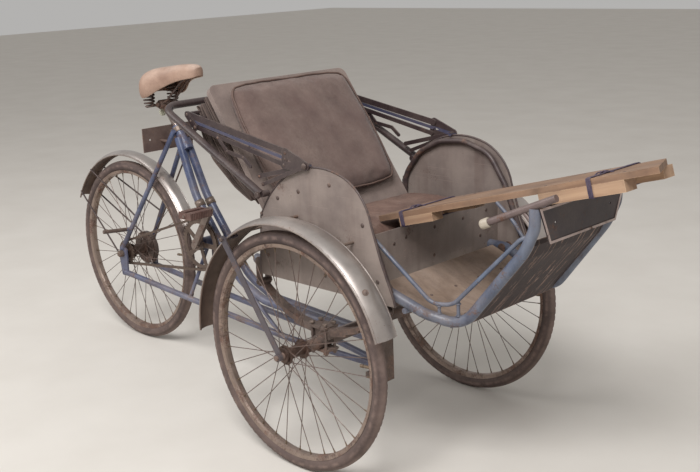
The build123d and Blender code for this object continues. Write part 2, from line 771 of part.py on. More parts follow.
def lower_rails(main):
    """Left and right rails from the rear axle's plates forward to the foot of the head tube, each
    with a brace up to the main tube's bend."""
    rail = bent_tube(
        [
            (REAR_X + 6, DROPOUT_INNER_Y + 3, 262),
            (CRANK_X + 44, LOWER_RAIL_Y, 224),
            (-380, LOWER_RAIL_Y - 4, 198),
            (KINGPIN_X - 8, 12, 176),
        ],
        [600, 300],
        LOWER_RAIL_R,
    )
    rail = rail - main - head_barrel()
    plate = across(
        make_face(
            Polyline(
                (REAR_X - 22, 322),
                (REAR_X - 12, 250),
                (REAR_X + 24, 250),
                (REAR_X + 26, 350),
                (REAR_X + 4, 366),
                (REAR_X - 14, 356),
                close=True,
            )
        ),
        DROPOUT_INNER_Y,
        DROPOUT_INNER_Y + DROPOUT_THICK,
    )
    rail = rail.solids().sort_by(SortBy.VOLUME)[-1]
    brace = rod((MAIN_RISE[0][0], MAIN_TUBE_Y, MAIN_RISE[0][1]), (-404, LOWER_RAIL_Y - 3, 201), 6)
    left = rail + plate + (brace - main).solids().sort_by(SortBy.VOLUME)[-1]
    left -= rod((REAR_X, 0, WHEEL_R), (REAR_X, 200, WHEEL_R), REAR_AXLE_R)
    return both_sides(left)


def on_seat_stay(height):
    """The point at a height on the left seat stay's centre line."""
    run = SEAT_STAY_TOP - SEAT_STAY_FOOT
    return SEAT_STAY_FOOT + run * ((height - SEAT_STAY_FOOT.Z) / run.Z)


def seat_stays(main, rails):
    """Stays from the axle plates up to the seat tube, with a mounting peg on the right one."""
    stay = rod(tuple(SEAT_STAY_FOOT), tuple(SEAT_STAY_TOP), STAY_R) - main - rails
    left = stay.solids().sort_by(SortBy.VOLUME)[-1]
    root = on_seat_stay(432)
    right = other_side(left) + rod((root.X, -root.Y, 432), (root.X - 15, -166, 440), 7)
    return Compound(children=[*left.solids(), *right.solids()])


def bottom_bracket(main, rails):
    """Shell for the crank axle, held by a short tube from the main tubes and two struts."""
    half = BOTTOM_BRACKET_HALF
    bracket = rod((CRANK_X, -half, CRANK_Z), (CRANK_X, half, CRANK_Z), BOTTOM_BRACKET_R)
    (low_x, low_z), (high_x, high_z) = MAIN_RISE
    reach = low_x + (high_x - low_x) * (CRANK_Z + 7 - low_z) / (high_z - low_z)
    bracket += rod((CRANK_X, 0, CRANK_Z), (reach, 0, CRANK_Z + 7), 15)
    for side in (-1, 1):
        foot = (CRANK_X - 68, side * (LOWER_RAIL_Y - 2), 230)
        bracket += rod((CRANK_X, side * 8, CRANK_Z), foot, 6.5)
    bore = rod((CRANK_X, -100, CRANK_Z), (CRANK_X, 100, CRANK_Z), 8 + BEARING_PLAY)
    return (bracket - main - rails - bore).solids().sort_by(SortBy.VOLUME)[-1]


def rear_axle():
    """Fixed axle through the plates, with its cones inside and nuts outside."""
    axle = rod((REAR_X, -86, WHEEL_R), (REAR_X, 86, WHEEL_R), REAR_AXLE_R)
    plate_out = DROPOUT_INNER_Y + DROPOUT_THICK
    for side in (-1, 1):
        for low, high, radius in (
            (REAR_HUB_HALF + FACE_GAP, DROPOUT_INNER_Y, 10),
            (plate_out, plate_out + 9, 12),
        ):
            axle += rod((REAR_X, side * low, WHEEL_R), (REAR_X, side * high, WHEEL_R), radius)
    return axle


def seat_post():
    post_top = up_seat_tube(SEAT_TUBE_LENGTH + SEAT_POST_LENGTH)
    return rod(up_seat_tube(SEAT_TUBE_LENGTH), post_top, SEAT_POST_R)


def saddle():
    """Sprung leather saddle, wide behind and narrow at the nose, lofted through upright sections."""
    sections = []
    for back, half_width, top, skirt in (
        (118, 66, 980, 56),
        (156, 102, 1002, 80),
        (243, 88, 1016, 70),
        (348, 36, 1027, 44),
        (440, 21, 1027, 34),
    ):
        rim_z = top - skirt
        brow = (half_width * 0.88, top - skirt * 0.4)
        outline = ThreePointArc((-brow[0], brow[1]), (0, top), brow) + Polyline(
            brow, (half_width, rim_z), (-half_width, rim_z), (-brow[0], brow[1])
        )
        upright = Plane(origin=(REAR_X + back, 0, 0), x_dir=(0, 1, 0), z_dir=(1, 0, 0))
        sections.append(upright * make_face(outline))
    return loft(sections)


def coil_spring(foot_z, top_z):
    """An upright coil drawn as a ribbed column, one rib a turn."""
    turns = 6
    pitch = (top_z - foot_z) / turns
    edge = [(0, foot_z)]
    for turn in range(turns):
        z = foot_z + turn * pitch
        edge += [(11.5, z), (15.5, z + pitch * 0.3), (15.5, z + pitch * 0.7)]
    edge += [(11.5, top_z), (0, top_z)]
    return revolve(Plane.XZ * make_face(Polyline(*edge, close=True)), Axis.Z)


def saddle_frame(leather, post):
    """Clamp, rails and rear coil springs between the post and the leather."""
    clamp_x, _, clamp_z = up_seat_tube(SEAT_TUBE_LENGTH + SEAT_POST_LENGTH)
    frame = Pos(clamp_x, 0, clamp_z) * Box(44, 46, 30)
    rear = REAR_X + 156
    foot_z = 884
    for side in (-1, 1):
        frame += rod((rear, side * 42, foot_z), (clamp_x, side * 18, clamp_z + 6), 4)
        frame += rod((clamp_x, side * 18, clamp_z + 6), (REAR_X + 418, side * 10, 1002), 4)
        frame += Pos(rear, side * 62, 0) * coil_spring(foot_z - 9, 960)
    frame += rod((rear, -70, foot_z), (rear, 70, foot_z), 6)
    frame = frame - leather - post
    return frame.solids().sort_by(SortBy.VOLUME)[-1]


def rear_plate(stays):
    """Blank board behind the seat stays, on two pegs, with its two fixing holes."""
    x = REAR_X + 245
    plate = Pos(x, 0, 776) * Box(3, 208, 82)
    root = on_seat_stay(768)
    for side in (-1, 1):
        plate += rod((x, side * root.Y, 768), (root.X + 3, side * root.Y, 768), 5)
        y = side * REAR_PLATE_HOLES / 2
        plate -= rod((x - 9, y, 776), (x + 9, y, 776), PLATE_HOLE_R)
    return (plate - stays).solids().sort_by(SortBy.VOLUME)[-1]


def rear_guard_stays(guard, others):
    """Wire stays: from the axle, and from each seat stay, back to the guard's wired edge."""
    centre = (REAR_X, WHEEL_R)
    edge_r = REAR_GUARD_R - GUARD_CROWN
    edge_y = REAR_GUARD_WIDTH / 2
    low = rod((REAR_X, 80, WHEEL_R), on_arc(centre, edge_r, 148, edge_y), 3)
    high = rod(tuple(on_seat_stay(480)), on_arc(centre, edge_r, 128, edge_y), 3)
    wires = []
    for wire in (low, high):
        wires.append((wire - guard - others).solids().sort_by(SortBy.VOLUME)[-1])
    return both_sides(Compound(children=wires))


# Brake


def brake_lever(main):
    """Hand lever on the left of the seat tube, with a ball grip."""
    x, z = SEAT_TUBE_FOOT[0] - 15, 790
    pivot = (x, 30, z)
    lever = rod((x, 10, z), (x, 38, z), 7)
    grip = (x + 108, 62, z + 94)
    lever += rod(pivot, grip, 6) + knob(pivot, grip, 12)
    lever += rod(pivot, LEVER_FOOT, 6)
    return lever - main


def brake_rod(others):
    """Pull rod and the band round the drum, anchored at the left axle plate."""
    inner, outer = DRUM_Y
    centre = Pos(REAR_X, (inner + outer) / 2, WHEEL_R)
    ring = Cylinder(DRUM_R + BAND_GAP + 3, 16) - Cylinder(DRUM_R + BAND_GAP, 20)
    band = centre * (Rot(90, 0, 0) * ring)
    lug = on_arc((REAR_X, WHEEL_R), DRUM_R + BAND_GAP + 3, 40, (inner + outer) / 2)
    band += rod(lug, LEVER_FOOT, 3)
    return (band - others).solids().sort_by(SortBy.VOLUME)[-1]


# Chain drive


def wheel_circle(teeth):
    return CHAIN_PITCH / (2 * sin(pi / teeth))


def chain():
    """Plates either side of both sprockets, with rollers along the two free runs."""
    ring = (CRANK_X, CRANK_Z, wheel_circle(CHAINRING_TEETH))
    cog = (REAR_X, WHEEL_R, wheel_circle(SPROCKET_TEETH))

    def loop(extra):
        circles = [Pos(x, z) * Circle(r + extra) for x, z, r in (ring, cog)]
        return make_hull([edge for circle in circles for edge in circle.edges()])

    plate = loop(4.0) - loop(-4.0)
    links = across(plate, CHAINLINE_Y - 4.0, CHAINLINE_Y - 2.5)
    run = hypot(ring[0] - cog[0], ring[1] - cog[1])
    heading = atan2(ring[1] - cog[1], ring[0] - cog[0])
    spread = asin((ring[2] - cog[2]) / run)
    free = run * cos(spread)
    rollers = [across(plate, CHAINLINE_Y + 2.5, CHAINLINE_Y + 4.0)]
    for side in (-1, 1):
        along = heading + side * spread
        square = along + side * pi / 2
        start = (cog[0] + cog[2] * cos(square), cog[1] + cog[2] * sin(square))
        for link in range(1, floor(free / CHAIN_PITCH)):
            reach = link * CHAIN_PITCH
            from_cog, from_ring = hypot(cog[2], reach), hypot(ring[2], free - reach)
            if from_cog < cog[2] + TOOTH_TIP + 5 or from_ring < ring[2] + TOOTH_TIP + 4:
                continue
            x, z = start[0] + reach * cos(along), start[1] + reach * sin(along)
            place = Plane(origin=(x, CHAINLINE_Y - 3, z), z_dir=(0, 1, 0))
            rollers.append(place * extrude(RegularPolygon(2.6, 6), 6.0))
    return links.fuse(*rollers)


def cranks():
    """Crank axle, both arms and the pedal spindles, with the chainring's seat on the right."""
    axle = rod((CRANK_X, -CRANK_INNER_Y, CRANK_Z), (CRANK_X, CRANK_INNER_Y, CRANK_Z), 8)
    boss_end = CHAINLINE_Y - CHAINRING_THICK / 2
    axle += rod((CRANK_X, -CRANK_INNER_Y, CRANK_Z), (CRANK_X, boss_end, CRANK_Z), 18)
    for side, turn in ((-1, CRANK_REST_DEG), (1, CRANK_REST_DEG + 180)):
        mid_y = side * (CRANK_INNER_Y + CRANK_THICK / 2)
        eye = on_arc((CRANK_X, CRANK_Z), CRANK_LENGTH, turn, mid_y)
        axle += flat_bar((CRANK_X, mid_y, CRANK_Z), eye, 24, CRANK_THICK, (0, 1, 0))
        near = side * (CRANK_INNER_Y + CRANK_THICK)
        far = near + side * (PEDAL_LENGTH + 14)
        axle += rod((eye[0], near, eye[2]), (eye[0], far, eye[2]), PEDAL_SPINDLE_R)
    return axle


def chainring():
    ring = toothed_disc(CHAINRING_TEETH, CHAINRING_THICK, 72)
    for arm in range(5):
        ring += Rot(0, 0, 72 * arm) * (Pos(40, 0, 0) * Box(72, 16, CHAINRING_THICK))
    ring += Cylinder(18, CHAINRING_THICK)
    ring -= Cylinder(8, 20)
    return Pos(CRANK_X, CHAINLINE_Y, CRANK_Z) * (Rot(90, 0, 0) * ring)


def rear_sprocket(hub):
    cog = toothed_disc(SPROCKET_TEETH, CHAINRING_THICK, REAR_HUB_R)
    return Pos(REAR_X, CHAINLINE_Y, WHEEL_R) * (Rot(90, 0, 0) * cog) - hub


def pedal(side):
    turn = CRANK_REST_DEG if side < 0 else CRANK_REST_DEG + 180
    x, _, z = on_arc((CRANK_X, CRANK_Z), CRANK_LENGTH, turn, 0)
    y = side * (CRANK_INNER_Y + CRANK_THICK + 8 + PEDAL_LENGTH / 2)
    body = Rot(90, 0, 0) * Cylinder(PEDAL_BARREL_R, PEDAL_LENGTH)
    for edge in (-1, 1):
        body += Pos(edge * (PEDAL_WIDTH - PEDAL_BAR) / 2, 0, 0) * Box(
            PEDAL_BAR, PEDAL_LENGTH - 8, PEDAL_BAR
        )
        body += Pos(0, edge * (PEDAL_LENGTH / 2 - 2), 0) * Box(PEDAL_WIDTH, 4, PEDAL_BAR)
    body -= Rot(90, 0, 0) * Cylinder(PEDAL_SPINDLE_R + BEARING_PLAY, 2 * PEDAL_LENGTH)
    return Pos(x, y, z) * body


# Mudguards


def mudguard(radius, width, arc):
    """Rolled sheet with a crowned section and wired edges, swept round part of the wheel."""
    half = width / 2 - GUARD_BEAD_R
    low_r = radius - GUARD_CROWN
    outer = ThreePointArc((low_r, -half), (radius, 0), (low_r, half))
    inner = ThreePointArc(
        (low_r - GUARD_SHEET, -half), (radius - GUARD_SHEET, 0), (low_r - GUARD_SHEET, half)
    )
    section = make_face(
        outer
        + Line((low_r, half), (low_r - GUARD_SHEET, half))
        + inner
        + Line((low_r - GUARD_SHEET, -half), (low_r, -half))
    )
    for side in (-1, 1):
        bead = Pos(low_r - GUARD_SHEET / 2, side * half)
        section += bead * RegularPolygon(GUARD_BEAD_R, 6)
    start, end = arc
    return Rot(0, -start, 0) * revolve(section, Axis.Y, revolution_arc=-(end - start))


def wheel_stay(guard, beam):
    """Flat stay on the left, from the stub axle's outer end up to the guard's edge, with its nut."""
    lean = 125.4
    eye = (0, STAY_PLATE_Y + STAY_THICK / 2, WHEEL_R)
    tip = on_arc((0, WHEEL_R), FRONT_GUARD_R - GUARD_CROWN, lean, eye[1])
    stay = flat_bar(eye, tip, 20, STAY_THICK, (0, 1, 0))
    stay += rod((tip[0], WHEEL_Y, tip[2]), (tip[0], eye[1] + 6, tip[2]), 4)
    nut = Plane(origin=(0, STAY_PLATE_Y + STAY_THICK, WHEEL_R), z_dir=(0, 1, 0))
    stay += nut * extrude(RegularPolygon(12, 6), 9)
    stay = stay - guard - beam
    return stay.solids().sort_by(SortBy.VOLUME)[-1]


def guard_brackets(guard):
    """Bolts that hold the left guard's inner edge off the box's sheet side."""
    edge_r = FRONT_GUARD_R - GUARD_CROWN
    bolts = []
    for angle in (62, 96, 122):
        x, _, z = on_arc((0, WHEEL_R), edge_r, angle, 0)
        bead_y = WHEEL_Y - FRONT_GUARD_WIDTH / 2
        bolt = rod((x, BOX_HALF + PANEL_SHEET, z), (x, bead_y + 2, z), 4) - guard
        bolts.append(bolt.solids().sort_by(Axis.Y)[0])
    return both_sides(Compound(children=bolts))


def build():
    nodes = {}
    wheel_tyre, wheel_rim = tyre(), rim()
    front_hub = laced_hub(FRONT_HUB_HALF, FRONT_HUB_FLANGE_Y, FRONT_HUB_R, STUB_AXLE_R)
    rear_hub = laced_hub(REAR_HUB_HALF, REAR_HUB_FLANGE_Y, REAR_HUB_R, REAR_AXLE_R)
    for name, x, y, hub in (
        ("front_left", 0, WHEEL_Y, front_hub),
        ("front_right", 0, -WHEEL_Y, front_hub),
        ("rear", REAR_X, 0, rear_hub),
    ):
        place = Pos(x, y, WHEEL_R)
        nodes[f"{name}_tyre"] = place * wheel_tyre
        nodes[f"{name}_wheel"] = place * Compound(children=[*wheel_rim.solids(), *hub.solids()])
    placed_hub = Pos(REAR_X, 0, WHEEL_R) * rear_hub
    nodes["rear_sprocket"] = rear_sprocket(placed_hub)
    nodes["brake_drum"] = Pos(REAR_X, 0, WHEEL_R) * brake_drum()

    beam = axle_beam()
    tube = side_tube()
    tubes = both_sides(tube)
    hoops = both_sides(armrest_hoop())
    rails = both_sides(foot_rail() - tube)
    bars = cross_tubes(tubes)
    nodes["axle_beam"] = beam
    nodes["kingpin_bracket"] = kingpin_bracket(beam)
    nodes["leaf_springs"] = both_sides(leaf_spring(beam))
    nodes["spring_hangers"] = spring_hangers(tubes)
    nodes["side_tubes"] = tubes
    nodes["cross_tubes"] = bars
    nodes["foot_rails"] = rails
    nodes["footwell_floor"] = footwell_floor(bars, tubes)
    nodes["front_board"] = front_board(tubes)
    plate = front_plate()
    nodes["front_plate"] = plate
    nodes["grab_rods"] = both_sides(grab_rod(tube))
    panel = side_panel() - hood_arms()
    nodes["side_panel_left"] = panel
    nodes["side_panel_right"] = other_side(panel)
    nodes["armrest_hoops"] = hoops
    nodes["seat_front_panel"] = seat_front_panel(tubes, hoops, rails)
    nodes["seat_bearers"] = seat_bearers(hoops)
    nodes["seat_board"] = seat_board()
    nodes["seat_cushion"] = seat_cushion()
    board = backrest_board()
    nodes["backrest_board"] = board
    nodes["backrest_cushion"] = backrest_cushion()
    arms = both_sides(hood_arms() - armrest_hoop())
    bows = hood_bows(arms)
    nodes["hood_arms"] = arms
    nodes["hood_bows"] = bows
    nodes["folded_hood"] = folded_hood(bows, board)
    nodes["push_bar"] = push_bar()
    nodes["foot_plank"] = foot_plank()
    nodes["plank_battens"] = plank_battens(bars, plate)
    nodes["plank_lashings"] = plank_lashings()

    guard = mudguard(FRONT_GUARD_R, FRONT_GUARD_WIDTH, FRONT_GUARD_ARC)
    left_guard = Pos(0, WHEEL_Y, WHEEL_R) * guard
    nodes["front_mudguard_left"] = left_guard
    nodes["front_mudguard_right"] = Pos(0, -WHEEL_Y, WHEEL_R) * guard
    nodes["front_wheel_stays"] = both_sides(wheel_stay(left_guard, beam))
    nodes["mudguard_bolts"] = guard_brackets(left_guard)

    main = main_tubes()
    lower = lower_rails(main)
    stays = seat_stays(main, lower)
    rear_guard = Pos(REAR_X, 0, WHEEL_R) * mudguard(
        REAR_GUARD_R, REAR_GUARD_WIDTH, REAR_GUARD_ARC
    )
    axle = rear_axle()
    nodes["main_tubes"] = main
    nodes["lower_rails"] = lower
    nodes["seat_stays"] = stays
    nodes["bottom_bracket"] = bottom_bracket(main, lower)
    nodes["rear_axle"] = axle
    nodes["rear_mudguard"] = rear_guard - stays
    nodes["rear_mudguard_stays"] = rear_guard_stays(rear_guard, [stays, lower, axle])
    nodes["rear_plate"] = rear_plate(stays)
    post = seat_post()
    leather = saddle()
    nodes["seat_post"] = post
    nodes["saddle"] = leather
    nodes["saddle_frame"] = saddle_frame(leather, post)
    lever = brake_lever(main)
    nodes["brake_lever"] = lever
    nodes["brake_rod"] = brake_rod([lever, stays, lower])
    nodes["chain"] = chain()
    nodes["cranks"] = cranks()
    nodes["chainring"] = chainring()
    nodes["pedal_right"] = pedal(-1)
    nodes["pedal_left"] = pedal(1)
    return nodes


os.makedirs("parts", exist_ok=True)
for name, shape in build().items():
    export_step(Pos(FRONT_AXLE_X, 0, 0) * shape, f"parts/{name}.step")
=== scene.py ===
import math
import random

import bmesh
import bpy
import numpy as np
from mathutils import Matrix, Vector


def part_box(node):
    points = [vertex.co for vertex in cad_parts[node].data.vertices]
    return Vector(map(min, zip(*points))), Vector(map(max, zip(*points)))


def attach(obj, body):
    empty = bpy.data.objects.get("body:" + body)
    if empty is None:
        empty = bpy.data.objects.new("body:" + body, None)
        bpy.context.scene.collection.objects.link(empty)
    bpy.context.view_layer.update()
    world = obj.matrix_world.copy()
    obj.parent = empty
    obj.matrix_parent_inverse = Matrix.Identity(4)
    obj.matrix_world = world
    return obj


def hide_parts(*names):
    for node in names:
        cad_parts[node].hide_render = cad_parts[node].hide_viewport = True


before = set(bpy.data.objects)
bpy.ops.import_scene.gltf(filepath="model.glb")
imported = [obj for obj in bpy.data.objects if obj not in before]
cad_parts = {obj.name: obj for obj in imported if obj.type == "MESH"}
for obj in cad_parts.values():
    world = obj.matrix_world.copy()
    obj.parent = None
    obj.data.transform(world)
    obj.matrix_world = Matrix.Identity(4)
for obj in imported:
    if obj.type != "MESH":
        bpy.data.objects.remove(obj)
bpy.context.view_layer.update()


# Tyres
# Three 26 inch tyres of black rubber that has gone brown with road dust, with ribs round the middle
# of the tread and cut blocks at its shoulders. Each is held in its rim by its own beads.

FRONT_AXLE_X = 0.3164
WHEEL_R = 0.333
FRONT_TRACK = 0.740
WHEELBASE = 1.248
TYRE_HALF_WIDTH = 0.0188
TYRE_BELLY_R = 0.3142
TYRE_BEAD = ((0.3012, 0.0139, None), (0.2990, 0.0106, None), (0.3030, 0.0085, None), (0.3060, 0.0, None))
TYRE_SWEEP, TYRE_SIDES = 236, 24
TREAD_EDGE_R = (0.3255, 0.3305)
TREAD_DEPTH = 0.0014
TREAD_BLOCKS = 96
# Each band of the tread: the angle that it ends at, its depth of cut and the share of a block cut.
TREAD_BANDS = ((12, 0.0, 0.0), (22, 1.0, 1.0), (34, 1.0, 0.18), (41, 0.8, 1.0), (66, 1.0, 0.32))
TYRE_STEPS = TREAD_BLOCKS * 6
wheels = {
    "front_left": (Vector((FRONT_AXLE_X, FRONT_TRACK / 2, WHEEL_R)), "front_wheel_left"),
    "front_right": (Vector((FRONT_AXLE_X, -FRONT_TRACK / 2, WHEEL_R)), "front_wheel_right"),
    "rear": (Vector((FRONT_AXLE_X - WHEELBASE, 0, WHEEL_R)), "rear_wheel"),
}


def shade(red, green, blue):
    """A paint colour as it is given, 0 to 255, in the values that shaders use."""
    return (*[((c / 255 + 0.055) / 1.055) ** 2.4 for c in (red, green, blue)], 1)


def join(value, socket):
    """Feeds a socket from a field, or sets it to a number, a place or a colour given 0 to 255."""
    if isinstance(value, Field):
        socket.id_data.links.new(value.socket, socket)
    else:
        socket.default_value = shade(*value) if socket.type == "RGBA" else value


def lay(tree, kind, inputs=None, out=0, **settings):
    """The field that one new shader node gives, with the node's settings and inputs."""
    node = tree.nodes.new("ShaderNode" + kind)
    for key, value in settings.items():
        setattr(node, key, value)
    for key, value in (inputs or {}).items():
        join(value, node.inputs[key])
    return Field(node.outputs[out])


def sum_on(operation, swapped=False):
    """A way to work out a number from a field and a second number."""
    def work(field, other=0.0):
        first, second = (other, field) if swapped else (field, other)
        return field.lay("Math", {0: first, 1: second}, operation=operation)
    return work


class Field:
    """A number, colour or place that changes over a surface. Sums on it lay their own nodes: | gives
    the larger of two numbers and & the smaller, and a comparison gives 1 or 0."""

    __add__, __mul__, __sub__ = sum_on("ADD"), sum_on("MULTIPLY"), sum_on("SUBTRACT")
    __rsub__ = sum_on("SUBTRACT", True)
    __or__, __and__ = sum_on("MAXIMUM"), sum_on("MINIMUM")
    __lt__, __gt__ = sum_on("LESS_THAN"), sum_on("GREATER_THAN")
    __abs__, sine = sum_on("ABSOLUTE"), sum_on("SINE")

    def __init__(self, socket):
        self.socket = socket

    def lay(self, kind, inputs=None, out=0, **settings):
        return lay(self.socket.id_data, kind, inputs, out, **settings)

    def also(self, name):
        """Something else that the same node gives."""
        return Field(self.socket.node.outputs[name])

    def held(self):
        """The same sum, held between 0 and 1."""
        self.socket.node.use_clamp = True
        return self

    def between(self, low, high, to_low=0.0, to_high=1.0):
        """A number spread from one range to another and held at its ends."""
        sockets = {"Value": self, "From Min": low, "From Max": high, "To Min": to_low, "To Max": to_high}
        return self.lay("MapRange", sockets)

    def mottle(self, scale, detail=4.0, rough=0.55, distortion=0.0):
        """Soft uneven patches over a place."""
        sockets = {"Vector": self, "Scale": scale, "Detail": detail, "Roughness": rough}
        return self.lay("TexNoise", {**sockets, "Distortion": distortion}, "Fac")

    def axis(self, name):
        return self.lay("SeparateXYZ", {0: self}, name)

    def vector(self, operation, other=(0.0, 0.0, 0.0), out=0):
        return self.lay("VectorMath", {0: self, 1: other}, out, operation=operation)

    def stretched(self, scale=(1.0, 1.0, 1.0), turn=(0.0, 0.0, 0.0)):
        """A place scaled along the axes, then turned about them."""
        return self.lay("Mapping", {"Vector": self, "Rotation": turn, "Scale": scale})


def mixed(share, under, over):
    """Two colours mixed by a share of the second."""
    field = next(value for value in (share, under, over) if isinstance(value, Field))
    return field.lay("Mix", {0: share, 6: under, 7: over}, 2, data_type="RGBA")


def effect(name, **inputs):
    """An empty shader group, with the fields that its own inputs give."""
    group = bpy.data.node_groups.new(name, "ShaderNodeTree")
    for socket, value in inputs.items():
        colour = isinstance(value, tuple) and isinstance(value[0], int)
        kind = "Color" if colour else "Vector" if isinstance(value, tuple) else "Float"
        made = group.interface.new_socket(socket, in_out="INPUT", socket_type="NodeSocket" + kind)
        made.default_value = shade(*value) if colour else value
    inlet = group.nodes.new("NodeGroupInput")
    return group, {socket: Field(inlet.outputs[socket]) for socket in inputs}


def give_out(group, **results):
    """The masks, colours and heights that a shader group puts out."""
    for name, field in results.items():
        kind = "Color" if field.socket.type == "RGBA" else "Float"
        group.interface.new_socket(name, in_out="OUTPUT", socket_type="NodeSocket" + kind)
    outlet = group.nodes.new("NodeGroupOutput")
    for name, field in results.items():
        join(field, outlet.inputs[name])


# Road dust lies thicker on faces that look up and on whatever is near the ground.
road_dust, given = effect("road_dust", Surface=(90, 80, 75), Dust=(166, 148, 136), Amount=0.4, Patch=9.0)
here = lay(road_dust, "TexCoord", out="Object")
upward = here.also("Normal").axis("Z").between(-0.6, 1.0, 0.25, 1.0)
low_down = here.axis("Z").between(0.05, 0.65, 0.35, 0.0)
lying = here.mottle(given["Patch"], 7.0, 0.65).between(0.32, 0.72) * upward + low_down
film = (lying * here.mottle(160.0, 2.0).between(0.25, 0.6, 0.6, 1.0) * given["Amount"]).held()
give_out(road_dust, Film=film, Colour=mixed(film, given["Surface"], given["Dust"]))


def finish(name):
    """A new material, and the field of places on its surface."""
    material = bpy.data.materials.new(name)
    material.use_nodes = True
    return material, lay(material.node_tree, "TexCoord", out="Object")


def coat(material, colour, rough, height=None, strength=0.3, distance=0.0006, **others):
    """Sets a material's shader: its colour, roughness and bump, and what else the finish needs."""
    shader = material.node_tree.nodes["Principled BSDF"]
    for name, value in {"Base_Color": colour, "Roughness": rough, **others}.items():
        join(value, shader.inputs[name.replace("_", " ")])
    if height is not None:
        sockets = {"Height": height, "Strength": strength, "Distance": distance}
        join(height.lay("Bump", sockets, "Normal"), shader.inputs["Normal"])
    return material


def dusted(surface, amount, patch, dust=(166, 148, 136)):
    """A surface colour with road dust on it, and where the dust lies."""
    sockets = {"Surface": surface, "Dust": dust, "Amount": amount, "Patch": patch}
    colour = surface.lay("Group", sockets, "Colour", node_tree=road_dust)
    return colour, colour.also("Film")


def off_axle(here, centre):
    """How far a point of a wheel is from its axle."""
    arm = here.vector("SUBTRACT", tuple(centre)).vector("MULTIPLY", (1.0, 0.0, 1.0))
    return arm.vector("LENGTH", out="Value")


def tyre_rubber(name, centre):
    """Brown-black rubber, dusty grey-brown where it rolls, with a scuffed band on each wall."""
    rubber, here = finish(name + "_rubber")
    radius = off_axle(here, centre)
    blotches = here.mottle(14.0, 8.0, 0.65)
    wall = mixed(blotches.between(0.35, 0.7), (50, 38, 39), (86, 70, 66))
    tread = mixed(blotches.between(0.3, 0.65), (76, 61, 58), (120, 102, 95))
    scuff_band = radius.between(0.309, 0.3145) * radius.between(0.323, 0.317)
    scuff = scuff_band * here.mottle(42.0, 6.0).between(0.42, 0.62, 0.0, 0.7)
    skin = mixed(scuff, mixed(radius.between(*TREAD_EDGE_R), wall, tread), (124, 104, 96))
    colour, film = dusted(skin, 0.36, 12.0, (148, 128, 117))
    rings = (radius * 3600.0).sine() * 0.25
    return coat(rubber, colour, film.between(0.0, 0.6, 0.72, 0.93), rings + here.mottle(420.0, 3.0), 0.35)


def linked(name, data):
    """A new object in the scene."""
    made = bpy.data.objects.new(name, data)
    bpy.context.scene.collection.objects.link(made)
    return made


def new_piece(name, points, faces, body, material, slot, smooth=True):
    """A mesh piece in its place, with its finish, that moves with a body."""
    mesh = bpy.data.meshes.new(name)
    mesh.from_pydata([tuple(p) for p in points], [], [tuple(f) for f in faces])
    mesh.update()
    mesh.polygons.foreach_set("use_smooth", [smooth] * len(mesh.polygons))
    return put_on(linked(name, mesh), body, material, slot)


def put_on(piece, body, material, slot):
    """A piece's finish and the body that it moves with; its slot is not used."""
    piece.data.materials.clear()
    piece.data.materials.append(material)
    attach(piece, body)
    return piece


def grid_faces(rings, around, closed_run=True, closed_ring=True):
    """Quads over rings of points, closed round each ring and from the last ring to the first if asked."""
    faces = []
    for ring in range(rings if closed_run else rings - 1):
        low, high = ring * around, (ring + 1) % rings * around
        for spot in range(around if closed_ring else around - 1):
            beside = (spot + 1) % around
            faces.append((low + spot, low + beside, high + beside, high + spot))
    return faces


def round_axle(turn, radius=1.0, y=0.0):
    """The way out from an axle at a turn about it, and along it."""
    return Vector((radius * math.cos(turn), y, radius * math.sin(turn)))


def tyre_section():
    """Radius and half-width round a tyre's outside and inside, with the angle up to the tread."""
    outside = []
    for side in range(TYRE_SIDES + 1):
        angle = math.radians(TYRE_SWEEP * (side / TYRE_SIDES - 0.5))
        radius = TYRE_BELLY_R + (WHEEL_R - TYRE_BELLY_R) * math.cos(angle)
        outside.append((radius, TYRE_HALF_WIDTH * math.sin(angle), angle))
    return [*outside, *TYRE_BEAD, *[(radius, -y, angle) for radius, y, angle in reversed(TYRE_BEAD[:-1])]]


def tread_cut(angle, round_the_wheel):
    """How deep the tread is cut at a place across it and round the wheel, from 0 to 1."""
    across = abs(math.degrees(angle))
    block = (round_the_wheel * TREAD_BLOCKS + (0.5 if angle > 0 else 0.0)) % 1
    for edge, depth, share in TREAD_BANDS:
        if across < edge:
            return depth if block < share else 0.0
    return 0.0


section = tyre_section()
for name, (centre, body) in wheels.items():
    points = []
    for step in range(TYRE_STEPS):
        for radius, y, angle in section:
            if angle is not None:
                radius -= TREAD_DEPTH * tread_cut(angle, step / TYRE_STEPS)
            points.append(centre + round_axle(2 * math.pi * step / TYRE_STEPS, radius, y))
    faces = grid_faces(TYRE_STEPS, len(section))
    tyre = new_piece(name + "_tread_tyre", points, faces, body, tyre_rubber(name, centre), "tyre_rubber")
    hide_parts(name + "_tyre")


# Rims, hubs and spokes
# Pressed steel rims once plated and now brown with rust, laced with 36 plain wire spokes to a hub
# between flanges. The spokes screw into brass nipples in the rim, and a valve stands beside them.

RIM_INNER_R = 0.287
SPOKES_A_SIDE = 18
SPOKE_CROSSES = 3
SPOKE_HOLE_R, SPOKE_FOOT_R = 0.022, 0.2875
SPOKE_HEAD_OUT, SPOKE_FOOT_Y = 0.0023, 0.0025
FLANGE_Y = {"front_left": 0.030, "front_right": 0.030, "rear": 0.026}
NIPPLE = ((0, 0.0024), (0.004, 0.0024), (0.0052, 0.0019), (0.013, 0.0016))
VALVE = (
    (0.0, 0.0055), (0.002, 0.0055), (0.002, 0.004), (0.022, 0.004), (0.022, 0.003), (0.027, 0.003),
    (0.0275, 0.0045), (0.038, 0.0042), (0.039, 0.003),
)

